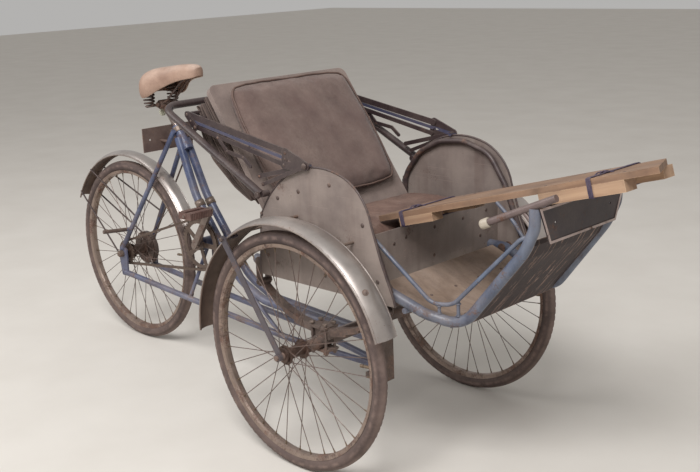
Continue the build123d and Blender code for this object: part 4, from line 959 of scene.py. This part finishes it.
HOOD_HALF = 0.268
HOOD_SPANS = 48
CLOTH_THICK = 0.0014
TOP_FOLDS = (397, 384, 390, 372)
LOW_FOLDS = (38, 54, 45, 66, 58)
LAYERS = 2 * len(TOP_FOLDS)
LAYER_STEPS = 19
FOLD_STEPS = 4
FOLD_R = 6
BOARD_GAP, BUNDLE_GAP = 5, 8
BOW_CLEAR, OUTER_BOW_CLEAR = 9.5, 12.5
BUNDLE_UP = (0, 28, 127, 234, 312, 398, 409)
BUNDLE_DEPTH = (8, 24, 90, 127, 114, 88, 37)
hood_canvas = canvas("hood_canvas", (62, 48, 46), (96, 78, 72), (128, 108, 98))
board_foot = Vector((-204, 668))
along_board = (Vector((-440, 985)) - board_foot).normalized()
off_board = Vector((-along_board.y, along_board.x))
bow_arms = [Vector(bow) - board_foot for bow in ((-475, 930), (-469, 898), (-443, 916))]
bow_spots = [Vector((arm.dot(along_board), arm.dot(off_board))) for arm in bow_arms]


def bundle_depth(up):
    """How thick the folded cloth lies at a distance up the backrest, in millimetres."""
    return float(np.interp(up, BUNDLE_UP, BUNDLE_DEPTH))


def layer_depth(up, share):
    """How far a layer lies off the backrest, by its share of the bundle."""
    return BOARD_GAP + (bundle_depth(up) - BOARD_GAP - BUNDLE_GAP) * share


def hung(up, depth, layer, across):
    """Where a point of the folded cloth comes to lie: sagged, waved, and clear of the bows."""
    sag = 7 * (1 + math.sin(across * 9 + up * 0.012 + 0.7)) + 4 * (1 + math.sin(across * 21 - up * 0.02))
    sag *= 1 - 0.7 * min(1, max(0, (up - 230) / 80))
    slow, quick = across * 7 + layer * 1.9 + up * 0.012, across * 17 + layer * 2.7 - up * 0.03
    wave = 1.8 * (math.sin(slow) + 0.6 * math.sin(quick))
    depth += bundle_depth(up) / max(BUNDLE_DEPTH) * (wave - sag * layer / LAYERS)
    hang = max(0, 1 - (up - 34) / 160)
    up += 3 * math.sin(across * 9 + layer * 2.1) + 9 * hang * math.sin(across * 6 + layer * 1.7)
    up -= 7 * across ** 2 * max(0, up / 390) ** 6
    place = Vector((up, depth))
    clear = BOW_CLEAR if layer < LAYERS - 1 else OUTER_BOW_CLEAR
    for bow in bow_spots:
        gap = place - bow
        if gap.length < clear:
            place = bow + gap.normalized() * clear
    depth = min(max(place.y, 3.0), bundle_depth(place.x) - 3)
    spot = board_foot + along_board * place.x + off_board * depth
    half = HOOD_HALF * (1000 - 12 * (1 + math.sin(layer * 2.3)) * abs(across))
    return row(spot.x, across * half, spot.y)


fold_line = []
for layer in range(LAYERS):
    low, high = LOW_FOLDS[(layer + 1) // 2], TOP_FOLDS[layer // 2]
    begin, end = (high, low) if layer % 2 else (low, high)
    share = (layer + 0.4) / LAYERS
    for step in range(LAYER_STEPS + 1):
        up = begin + (end - begin) * step / LAYER_STEPS
        fold_line.append((up, layer_depth(up, share), layer))
    for step in range(1, FOLD_STEPS if layer < LAYERS - 1 else 1):
        turn = math.pi * step / FOLD_STEPS
        outward = FOLD_R * math.sin(turn) * (-1 if layer % 2 else 1)
        half_way = share + (1 - math.cos(turn)) / 2 / LAYERS
        fold_line.append((end + outward, layer_depth(end, half_way), layer + step / FOLD_STEPS))


def thickened(piece, thickness, offset, levels):
    """Gives a sheet its thickness, and rounds it."""
    solid = piece.modifiers.new("thickness", "SOLIDIFY")
    solid.thickness = thickness
    solid.offset = offset
    soft = piece.modifiers.new("rounding", "SUBSURF")
    soft.levels = soft.render_levels = levels


points = [hung(*spot, 2 * span / HOOD_SPANS - 1) for span in range(HOOD_SPANS + 1) for spot in fold_line]
faces = grid_faces(HOOD_SPANS + 1, len(fold_line), False, False)
hood = new_piece("folded_canvas_hood", points, faces, "front_carriage", hood_canvas, "hood_canvas")
thickened(hood, CLOTH_THICK, 0, 1)
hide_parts("folded_hood")

# The hood's bars are black, and a band along the middle one of the three is painted blue-grey: a painted
# highlight.
MIDDLE_BAR_X, MIDDLE_BAR_Z, MIDDLE_BAR_SLOPE = 0.2524, 0.841, -0.1823
black_bar, here = finish("black_hood_bar")
bar_line = (here.axis("X") - MIDDLE_BAR_X) * MIDDLE_BAR_SLOPE + MIDDLE_BAR_Z
middle_bar_highlight = (abs(here.axis("Z") - bar_line) < 0.005) * (abs(here.axis("Y")) < 0.3046)
# The blue-grey band on the middle bar is a painted highlight.
paint = mixed(middle_bar_highlight, mixed(here.mottle(26.0, 6.0), (30, 20, 25), (54, 40, 44)), (54, 58, 84))
rubbed = worn_edges(here, 0.9, 0.0016, 60.0)
colour, bloom, film, pits = aged(mixed(rubbed, paint, (150, 134, 128)), (0.3, 16.0), (0.28, 9.0))
rough = (bloom + film).between(0.0, 0.8, 0.3, 0.8)
coat(black_bar, colour, rough, pits - rubbed, 0.25, Metallic=rubbed * 0.5)
dress(black_bar, "hood_arms", "hood_bows", "push_bar")

# Rivets join the bars: each has its place and its radius in millimetres.
HOOD_RIVETS = (
    (-62, 308, 858, 5), (-70, 308, 824, 5), (-64, 308, 841, 3.5), (-475, 308, 930, 5), (-441, 308, 896, 5),
    (-459, 308, 913, 3.5), (-340, 308, 874, 4), (-304, 308, 838, 4), (-236, 308, 828, 4), (-176, 304, 782, 4),
    (-158, 308, 762, 4),
)
parts = []
for side in (-1, 1):
    for x, y, z, size in HOOD_RIVETS:
        parts.append(dome(row(x, side * y, z), (0, side, 0), size / 1000, size / 2500))
    parts.append(dome(row(12, side * 312, 829), (0, side, 0), 0.009, 0.0035, 18))
    parts.append(hexagon(row(-150, side * 333.5, 738), (0, side, 0), 0.017, 0.008))
gathered("hood_rivets", parts, "front_carriage", forged, "dark_steel", False)


# Foot plank
# A thick board laid from the seat to the nose, of pale wood oiled brown by feet, with battens nailed
# under both its edges. Blue cord is wound four times round it at each batten and knotted on top.

PLANK_PITCH = math.radians(15.2)
PLANK_REAR = (119, 680)
PLANK_Y = -40
PLANK_WIDTH = 215
PLANK_THICK = 15
CORD_R = 1.5
CORD_GAP = CORD_R + 0.4
WINDS = 4
WIND_STEPS = 8
KNOT_Y = -46
along_plank = (0.0, PLANK_PITCH, 0.0)
oiled = timber("oiled_plank", (158, 126, 100), (102, 74, 58), 0.8, 0.25, along_plank, (188, 156, 126))
dress(oiled, "foot_plank")
dress(timber("batten_wood", (192, 160, 130), (136, 104, 82), 0.6, 0.35, along_plank), "plank_battens")


def on_plank(along, y, z):
    """A place on the plank: along it from its rear end, across it, and up out of its top face."""
    c, s = math.cos(PLANK_PITCH), math.sin(PLANK_PITCH)
    return row(PLANK_REAR[0] + along * c - z * s, PLANK_Y + y, PLANK_REAR[1] + along * s + z * c)


cord_blue, here = finish("blue_cord")
sockets = {"Vector": here, "Scale": 260.0, "Distortion": 2.0}
strand = here.lay("TexWave", sockets, "Fac", bands_direction="DIAGONAL")
tone = mixed(here.mottle(60.0, 5.0), (42, 34, 60), (78, 66, 98))
# The grooves between the cord's strands are painted darker: painted shade.
tone = mixed(strand.between(0.0, 1.0, 0.35, 0.0), tone, (28, 22, 40))
coat(cord_blue, dusted(tone, 0.4, 30.0)[0], 0.8, strand, 0.5)


def wound(at, batten):
    """The cord's turns round the plank and a batten of that thickness."""
    edge, bottom = PLANK_WIDTH / 2 + CORD_GAP, -PLANK_THICK - batten - CORD_GAP
    corners = ((-edge, bottom), (-edge, CORD_GAP), (edge, CORD_GAP), (edge, bottom))
    path = []
    for wind in range(WINDS):
        for corner, (y, z) in enumerate(corners):
            next_y, next_z = corners[(corner + 1) % 4]
            for step in range(WIND_STEPS):
                share = 0.03 + 0.94 * step / (WIND_STEPS - 1)
                shift = (wind + (corner + share) / 4 - WINDS / 2) * 2.15 * CORD_R
                shift += 0.2 * math.sin(step * 1.7 + wind * 2.1)
                path.append(on_plank(at + shift, y + (next_y - y) * share, z + (next_z - z) * share))
    return path


def knotted(at):
    """The knot on top, and the cord's two loose ends."""
    knot = []
    for step in range(49):
        t = 2 * math.pi * step / 48
        off, aside = 2.5 * (math.sin(t) + 2 * math.sin(2 * t)), 2.5 * (math.cos(t) - 2 * math.cos(2 * t))
        knot.append(on_plank(at + off, KNOT_Y + aside, 5.2 - 1.9 * math.sin(3 * t)))
    ends = []
    for way in (-1, 1):
        ends.append([
            on_plank(at + way * (3 + 5 * s), KNOT_Y + way * s * 6, 5.0 + 2.5 * math.sin(s * 1.8) - 0.9 * s)
            for s in (0, 0.5, 1, 1.6, 2.3, 3.0)
        ])
    return [knot, *ends]


parts = []
for at, batten in ((84, 22), (663, 28)):
    parts += [run_of_tube(path, CORD_R / 1000, 8) for path in (wound(at, batten), *knotted(at))]
lashing = gathered("wound_lashings", parts, "front_carriage", cord_blue, "cord_cloth")
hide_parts("plank_lashings")

# Nails go down into the battens, in from each edge by the inset.
plank_up = on_plank(0, 0, 1) - on_plank(0, 0, 0)
parts = []
for edge in (-1, 1):
    for inset, places in ((20, (76, 100, 140, 178)), (23, (530, 600, 680, 742))):
        y = edge * (PLANK_WIDTH / 2 - inset)
        parts += [dome(on_plank(along, y, 0), plank_up, 0.0042, 0.0012) for along in places]
gathered("plank_nails", parts, "front_carriage", forged, "dark_steel")


# Front mudguards and their stays
# Rolled sheet steel with wired edges, worn silver-grey under its thin paint, rusted along the wires
# and painted dark on its inside as painted shade. Bolts hold the guards to the box, and a flat stay to each
# axle.

guard_paint, here = finish("guard_paint")
paint = mixed(here.mottle(7.0, 8.0, 0.62).between(0.3, 0.7), (150, 142, 138), (194, 187, 182))
chips = here.mottle(95.0, 5.0, 0.7).between(0.63, 0.66) * here.mottle(9.0, 2.0).between(0.45, 0.6)
bloom, rust, pits = rusted(here, 0.3, 12.0)
spoiled = chips | worn_edges(here, 1.0, 0.003, 60.0) | bloom
colour, film = dusted(mixed(spoiled, paint, mixed(0.6, (96, 74, 66), rust)), 0.42, 6.0)

# The faces that look towards the wheel's own axle are painted dark brown: painted shade inside the guard.
arm, rear_arm = [here.vector("SUBTRACT", (x, 0.0, WHEEL_R)) for x in (FRONT_AXLE_X, FRONT_AXLE_X - WHEELBASE)]
own_arm = here.lay("Mix", {0: here.axis("X") < -0.35, 4: arm, 5: rear_arm}, 1, data_type="VECTOR")
facing = here.lay("NewGeometry", out="True Normal")
outward = own_arm.vector("MULTIPLY", (1.0, 0.0, 1.0)).vector("DOT_PRODUCT", facing, "Value")
inside = outward.between(0.02, -0.02)
# Dark brown painted shade for the guard's inside.
painted_inside_shade = mixed(here.mottle(34.0, 8.0, 0.7), (58, 44, 40), (120, 98, 84))
rough = (spoiled * 0.35 + film * 0.6 + inside).between(0.0, 1.0, 0.3, 0.85)
clean = (1.0 - (inside + (spoiled + film))).held()
relief = here.mottle(11.0, 2.0) * 3.0 + (pits + inside * here.mottle(160.0, 5.0))
sheen = {"Metallic": clean * 0.85, "Coat Weight": 0.3, "Coat Roughness": 0.22}
coat(guard_paint, mixed(inside, colour, painted_inside_shade), rough, relief, 0.22, 0.001, **sheen)
dress(guard_paint, "front_mudguard_left", "front_mudguard_right", "rear_mudguard")
dress(bolt_steel, "mudguard_bolts")
dress(old_steel("stay_paint", (50, 46, 56), (88, 84, 92), 0.34, 0.25, 0.25), "front_wheel_stays")

# Domed bolts with washers show on the guards' outer slope, and a nut where each stay's peg ends.
GUARD_BOLT_R = 0.370 - 0.013 * (16 / 36) ** 2
GUARD_BOLT_Y = 0.386
GUARD_SLOPE = 16 / 52
PEG_R, PEG_Y, PEG_TURN = 0.357, 0.4258, math.radians(125.4)
front_axle = row(0, 0, 333)
parts = []
for side in (-1, 1):
    for turn in (math.radians(38), math.radians(152)):
        out = round_axle(turn, 1.0, side * GUARD_SLOPE).normalized()
        spot = front_axle + round_axle(turn, GUARD_BOLT_R, side * GUARD_BOLT_Y)
        parts.append(washer(spot - out * 0.0006, out, 0.0085, 0.0018))
        parts.append(dome(spot + out * 0.0008, out, 0.0055, 0.0032))
    peg = front_axle + round_axle(PEG_TURN, PEG_R, side * PEG_Y)
    parts.append(hexagon(peg, (0, side, 0), 0.011, 0.005))
gathered("guard_fasteners", parts, "front_carriage", forged, "dark_steel", False)


# Rider's frame
# Steel tubes brazed together and painted a darker blue than the carriage: twin main tubes, head and
# seat tubes, lower rails, stays and the bracket for the cranks. Lumps of brazing show at the joints.

REAR_X = -1000 * WHEELBASE
CRANK_X, CRANK_Z = REAR_X + 444, 433
SEAT_FOOT = (REAR_X + 355, 742)
LEAN = math.radians(53.8)
PEG_FROM = 0.08
rider_blue, here = finish("rider_frame_blue")
strokes = here.mottle(22.0, 8.0, 0.65)
paint = mixed(strokes.between(0.3, 0.7), (42, 49, 76), (80, 93, 126))
paint = mixed(here.mottle(4.0, 5.0).between(0.5, 0.7, 0.0, 0.5), paint, (112, 120, 138))
paint = mixed(abs(here.axis("Y")) > PEG_FROM, paint, (58, 46, 46))
bare = chipped_off(here, (70.0, 0.6, 8.0), (0.8, 0.002, 80.0))
rusting_enamel(rider_blue, here, paint, bare, (0.6, (88, 74, 72)), 0.38, 16.0, 0.4, 0.32, strokes * 0.5)
dress(rider_blue, "main_tubes", "lower_rails", "seat_stays", "bottom_bracket")


def up_seat_tube(distance):
    return row(SEAT_FOOT[0] - distance * math.cos(LEAN), 0, SEAT_FOOT[1] + distance * math.sin(LEAN))


seat_rise = up_seat_tube(1) - up_seat_tube(0)
parts = [
    weld_bead(up_seat_tube(2), seat_rise, 0.0172, 0.0024, 24, 1),
    weld_bead(row(-45, 0, 292), (0, 0, 1), 0.0222, 0.0022, 26, 2),
    weld_bead(row(-45, 0, 150), (0, 0, 1), 0.0222, 0.0022, 26, 3),
]
for side in (-1, 1):
    parts.append(weld_bead(row(CRANK_X, side * 33, CRANK_Z), (0, side, 0), 0.0212, 0.0018, 24, 4))
    parts.append(weld_bead(row(REAR_X + 4, side * 65, 262), (1, 0, 0), 0.0103, 0.002, 18, 5))
    parts.append(weld_bead(row(-404, side * 57, 205), (0.6, 0, -0.8), 0.0063, 0.0018, 14, 6))
gathered("frame_brazing", parts, "rear_frame", rider_blue, "frame_paint")

# A bare steel band holds the seat tube's lug tight, with its bolt behind.
BAND = ((0, 0.0176), (0, 0.0198), (0.002, 0.0202), (0.015, 0.0202), (0.017, 0.0198), (0.017, 0.0176))
clamp_bolt = up_seat_tube(78.5) + Vector((-0.019, 0, -0.004))
bolt_half = Vector((0, 0.012, 0))
parts = [turned(BAND, up_seat_tube(70), seat_rise, 28)]
parts.append(turned([(0, 0.0036), (0.024, 0.0036)], clamp_bolt - bolt_half, bolt_half, 12))
parts += [hexagon(clamp_bolt + bolt_half * way, (0, way, 0), 0.010, 0.005) for way in (-1, 1)]
gathered("seat_clamp", parts, "rear_frame", bolt_steel, "bright_steel", False)
dress(old_steel("post_steel", (110, 98, 94), (156, 142, 134), 0.35, 0.8, 0.3, (0.28, 0.8)), "seat_post")


# Saddle
# A small sprung saddle of tan leather over padding, moulded by use. Its cover turns under at the back
# and the nose, where two round rails hold it, and it stands on a coil spring at each rear corner.

# Each section has its distance from the rear axle, half-width, height of its top and depth of skirt.
SADDLE_SECTIONS = (
    (196, 50, 982, 50), (202, 70, 994, 72), (216, 84, 1006, 88), (242, 88, 1014, 94), (272, 83, 1018, 86),
    (304, 66, 1022, 70), (340, 47, 1027, 58), (380, 35, 1031, 50), (418, 28, 1032, 45), (440, 23, 1029, 39),
    (449, 13, 1022, 26),
)
SADDLE_ROUND = 32
tan_leather = hide("tan_leather", (136, 107, 92), (180, 150, 132), (208, 184, 168), 520.0, 0.36, 0.1)


def eased(value, power):
    return math.copysign(abs(value) ** power, value)


points = []
for back, half, top, skirt in SADDLE_SECTIONS:
    for spot in range(SADDLE_ROUND + 1):
        angle = math.radians(-120 + 240 * spot / SADDLE_ROUND)
        lift = 0.66 * skirt * (eased(math.cos(angle), 0.8) - 1)
        points.append(row(REAR_X + back, half * eased(math.sin(angle), 0.7), top + lift))
faces = [face[::-1] for face in grid_faces(len(SADDLE_SECTIONS), SADDLE_ROUND + 1, False, False)]
nose = len(points) - SADDLE_ROUND - 1
for spot in range(SADDLE_ROUND // 2):
    other = SADDLE_ROUND - spot
    face = list(dict.fromkeys((spot, spot + 1, other - 1, other)))
    faces += [face, [nose + corner for corner in reversed(face)]]
leather = new_piece("leather_saddle", points, faces, "rear_frame", tan_leather, "seat_leather")
thickened(leather, 0.005, -1, 2)
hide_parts("saddle")

# Its frame: two rails from the springs to the nose, the coils on their cups, bars, and the clamp.
SPRING_X = REAR_X + 224
SPRING_Y = 50
SPRING_FOOT, SPRING_HEIGHT = 890, 66
COIL_TURNS, COIL_STEPS = 6, 12
CLAMP_X, CLAMP_Z = SEAT_FOOT[0] - 183 * math.cos(LEAN), SEAT_FOOT[1] + 183 * math.sin(LEAN)
RAIL = (
    (SPRING_X, 44, 888), (SPRING_X + 8, 24, 889), (CLAMP_X, 19, CLAMP_Z), (CLAMP_X + 34, 17, 906),
    (REAR_X + 360, 13, 972), (REAR_X + 410, 11, 1000), (REAR_X + 440, 9, 1008),
)
CANTLE = ((6, -60, 956), (-10, -46, 958), (-16, 0, 962), (-10, 46, 958), (6, 60, 956))
SPRING_CUP = ((0, 0.015), (0.0025, 0.016), (0.004, 0.012))
CLAMP_DRUM = ((0, 0.011), (0.003, 0.0155), (0.051, 0.0155), (0.054, 0.011))
parts = []
for side in (-1, 1):
    coil = []
    for step in range(COIL_TURNS * COIL_STEPS + 1):
        turn, share = 2 * math.pi * step / COIL_STEPS, step / (COIL_TURNS * COIL_STEPS)
        wide = 15 + 3 * math.sin(math.pi * share)
        x, y = SPRING_X + wide * math.cos(turn), side * SPRING_Y + wide * math.sin(turn)
        coil.append(row(x, y, SPRING_FOOT + SPRING_HEIGHT * share))
    parts.append(run_of_tube(coil, 0.0032, 7))
    parts.append(run_of_tube([row(x, side * y, z) for x, y, z in RAIL], 0.0038))
    parts.append(hexagon(row(CLAMP_X, side * 27, CLAMP_Z + 1), (0, side, 0), 0.017, 0.009))
    parts.append(turned(SPRING_CUP, row(SPRING_X, side * SPRING_Y, SPRING_FOOT - 5), (0, 0, 1), 18))
parts.append(run_of_tube([row(SPRING_X, y, 887) for y in (-62, -20, 20, 62)], 0.005))
parts.append(run_of_tube([row(SPRING_X + x, y, z) for x, y, z in CANTLE], 0.0045))
parts.append(turned(CLAMP_DRUM, row(CLAMP_X, -27, CLAMP_Z + 1), (0, 1, 0), 24))
clamp_foot = row(CLAMP_X, 0, CLAMP_Z) - seat_rise.normalized() * 0.030
parts.append(turned([(0, 0.0145), (0.026, 0.0145)], clamp_foot, seat_rise, 20))
saddle_steel = old_steel("saddle_steel", (46, 37, 38), (92, 76, 72), 0.5, 0.5, 0.45)
saddle_metal = gathered("saddle_springs", parts, "rear_frame", saddle_steel, "dark_steel")
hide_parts("saddle_frame")

# A small pale reflector stands behind the seat post, and a steel clip holds the twin tubes together.
LENS = ((0, 0.0125), (0.004, 0.0135), (0.009, 0.0125), (0.012, 0.007))
CLIP_RING = ((0, 0.0143), (0, 0.0165), (0.022, 0.0165), (0.022, 0.0143))
glass = smeared("clouded_glass", (90.0, 4.0), (176, 178, 158), (216, 214, 196), 0.35, 30.0, (0.25, 0.6))
lens_at = row(REAR_X + 232, 0, 861)
parts = [turned(LENS, lens_at, (-1, 0, 0.1), 24)]
parts.append(run_of_tube([lens_at, lens_at + Vector((0.018, 0, 0.002)), up_seat_tube(148)], 0.003, 8))
gathered("seat_reflector", parts, "rear_frame", glass, "plate_paint")
parts = [turned(CLIP_RING, row(-813, y, 558), (-198, 0, 254), 28) for y in (-22, 22)]
parts.append(turned([(0, 0.0035), (0.022, 0.0035)], row(-835, -9, 545), (0, 1, 0), 12))
gathered("twin_tube_clip", parts, "rear_frame", bolt_steel, "bright_steel")


# Rear plate, mudguard stays and axle
# A blank dark board on two pegs behind the stays, held by domed screws, wire stays from the axle to
# the guard, and the axle's own nuts and washers of bare steel.

PLATE_FACE = REAR_X + 245 - 1.6
board_paint = old_steel("plate_board_paint", (66, 50, 48), (104, 84, 78), 0.38, 0.0, 0.45, (0.55, 0.85))
dress(board_paint, "rear_plate")
dress(old_steel("wire_stay_steel", (38, 30, 33), (76, 62, 62), 0.3, 0.5, 0.2), "rear_mudguard_stays")
dress(bolt_steel, "rear_axle")
parts = []
for side in (-1, 1):
    parts.append(hexagon(row(REAR_X, side * 77.2, 333), (0, side, 0), 0.019, 0.009))
    parts.append(washer(row(REAR_X, side * 86, 333), (0, side, 0), 0.0045, 0.0015))
    parts += [dome(row(PLATE_FACE, side * y, 768), (-1, 0, 0), 0.0045, 0.002) for y in (30, 92)]
gathered("rear_fasteners", parts, "rear_frame", bolt_steel, "bright_steel", False)


# Brake
# A hand lever with a black ball pulls a rod to the band round the drum on the rear hub. Drum and band
# are bare steel, glazed and rusty, black with road oil.

greasy_steel = old_steel("greasy_steel", (36, 30, 30), (78, 62, 58), 0.45, 0.5, 0.35, (0.3, 0.8))
dress(greasy_steel, "brake_drum", "brake_rod", "brake_lever")
nut = hexagon(row(SEAT_FOOT[0] - 15, 38, 790), (0, 1, 0), 0.013, 0.006)
gathered("lever_nut", [nut], "rear_frame", bolt_steel, "bright_steel", False)


# Chain, cranks and pedals
# Steel block chain and toothed wheels black with old grease, worn bright at the teeth; forged cranks
# held by cotters; pedals of red-brown rubber blocks on a steel spindle.

CRANK_LENGTH = 0.165
CRANK_TURNS = {-1: math.radians(55), 1: math.radians(235)}
oiled_chain, here = finish("oiled_chain")
rubbed = worn_edges(here, 1.0, 0.0009, 120.0)
tone = mixed(rubbed, mixed(here.mottle(60.0, 6.0), (40, 32, 30), (98, 78, 66)), (164, 148, 134))
colour, film = dusted(tone, 0.35, 30.0)
metal = rubbed.between(0.0, 1.0, 0.45, 0.8)
rough = film.between(0.0, 0.5, 0.34, 0.75)
coat(oiled_chain, colour, rough, here.mottle(300.0, 4.0), 0.3, 0.0005, Metallic=metal)
dress(oiled_chain, "chain", "chainring", "rear_sprocket")
dress(old_steel("crank_steel", (96, 84, 80), (158, 144, 136), 0.36, 0.8, 0.25), "cranks")
parts = []
for side, turn in CRANK_TURNS.items():
    along, cross = round_axle(turn), round_axle(turn + math.pi / 2)
    boss = row(CRANK_X, side * 70, CRANK_Z) + along * 0.0085
    parts.append(turned([(-0.0165, 0.0042), (0.0165, 0.0046)], boss, cross, 12))
    parts.append(hexagon(boss + cross * 0.0120, cross, 0.011, 0.005))
    eye = row(CRANK_X, side * 63.5, CRANK_Z) + along * CRANK_LENGTH
    parts.append(dome(eye, (0, -side, 0), 0.0075, 0.002))
gathered("crank_cotters", parts, "cranks", bolt_steel, "bright_steel", False)

# A pedal's blocks have seven ribs on each corner, and a cap closes its outer end.
pedal_rubber, here = finish("pedal_rubber")
colour, film = dusted(mixed(here.mottle(30.0, 6.0), (58, 35, 33), (104, 68, 60)), 0.4, 14.0)
ribs = (here.axis("Y") * 900.0).sine() * 1.4
coat(pedal_rubber, colour, film.between(0.0, 0.5, 0.6, 0.9), ribs + here.mottle(200.0, 3.0), 0.5, 0.001)
for name, side in (("pedal_right", -1), ("pedal_left", 1)):
    dress(pedal_rubber, name)
    eye = row(CRANK_X, 0, CRANK_Z) + round_axle(CRANK_TURNS[side], CRANK_LENGTH)
    parts = [dome(eye + Vector((0, side * 0.1725, 0)), (0, side, 0), 0.0085, 0.004)]
    for edge, up in ((-1, -1), (-1, 1), (1, -1), (1, 1)):
        for rib in range(-3, 4):
            middle = eye + Vector((edge * 0.021, side * (0.128 + rib * 0.0105), up * 0.0112))
            half = Vector((0.0095, 0, 0))
            parts.append(run_of_tube([middle - half, middle + half], 0.0014, 6))
    gathered(name + "_ribs", parts, name, pedal_rubber, "pedal_rubber")


# Floor, light and camera
# A pale floor, two soft lamps and an even sky, seen from the photograph's place.

bpy.ops.mesh.primitive_plane_add(size=40, location=(0, 0, 0))
ground = bpy.context.object
ground.name = "ground"
ground_paint, here = finish("ground_paint")
coat(ground_paint, mixed(here.mottle(3.0, 6.0), (206, 200, 192), (222, 217, 210)), 0.9)
ground.data.materials.append(ground_paint)

sky = bpy.data.worlds.new("studio_sky")
sky.use_nodes = True
bpy.context.scene.world = sky
background = sky.node_tree.nodes["Background"]
background.inputs["Color"].default_value = (1.0, 0.985, 0.965, 1)
background.inputs["Strength"].default_value = 0.45
LAMP_AIM = Vector((0, 0, 0.5))
for name, power, place, size in (
    ("key_lamp", 320, (2.2, -3.6, 5.0), 2.6),
    ("fill_lamp", 95, (-3.2, -3.4, 3.6), 3.0),
):
    lamp = linked(name, bpy.data.lights.new(name, "AREA"))
    lamp.data.energy = power
    lamp.data.size = size
    lamp.location = place
    lamp.rotation_euler = (LAMP_AIM - Vector(place)).to_track_quat("-Z", "Y").to_euler()

CAMERA_PLACE = Vector((2.00985 + FRONT_AXLE_X, -2.16844, 1.34643))
CAMERA_YAW, CAMERA_PITCH, CAMERA_ROLL = 2.35130236, 0.254013183, -0.0400789828
PHOTO_WIDTH = 700
FOCAL_PIXELS = 1066.95343
forward = Vector((
    math.cos(CAMERA_YAW) * math.cos(CAMERA_PITCH),
    math.sin(CAMERA_YAW) * math.cos(CAMERA_PITCH),
    -math.sin(CAMERA_PITCH),
))
level = Vector((math.sin(CAMERA_YAW), -math.cos(CAMERA_YAW), 0))
upright = level.cross(forward)
right = math.cos(CAMERA_ROLL) * level + math.sin(CAMERA_ROLL) * upright
above = -math.sin(CAMERA_ROLL) * level + math.cos(CAMERA_ROLL) * upright
stance = Matrix((right, above, -forward)).transposed().to_4x4()
stance.translation = CAMERA_PLACE
camera = linked("camera", bpy.data.cameras.new("camera"))
camera.matrix_world = stance
camera.data.sensor_width = 36
camera.data.lens = FOCAL_PIXELS / PHOTO_WIDTH * camera.data.sensor_width
bpy.context.scene.camera = camera
bpy.context.scene.view_settings.view_transform = "Standard"
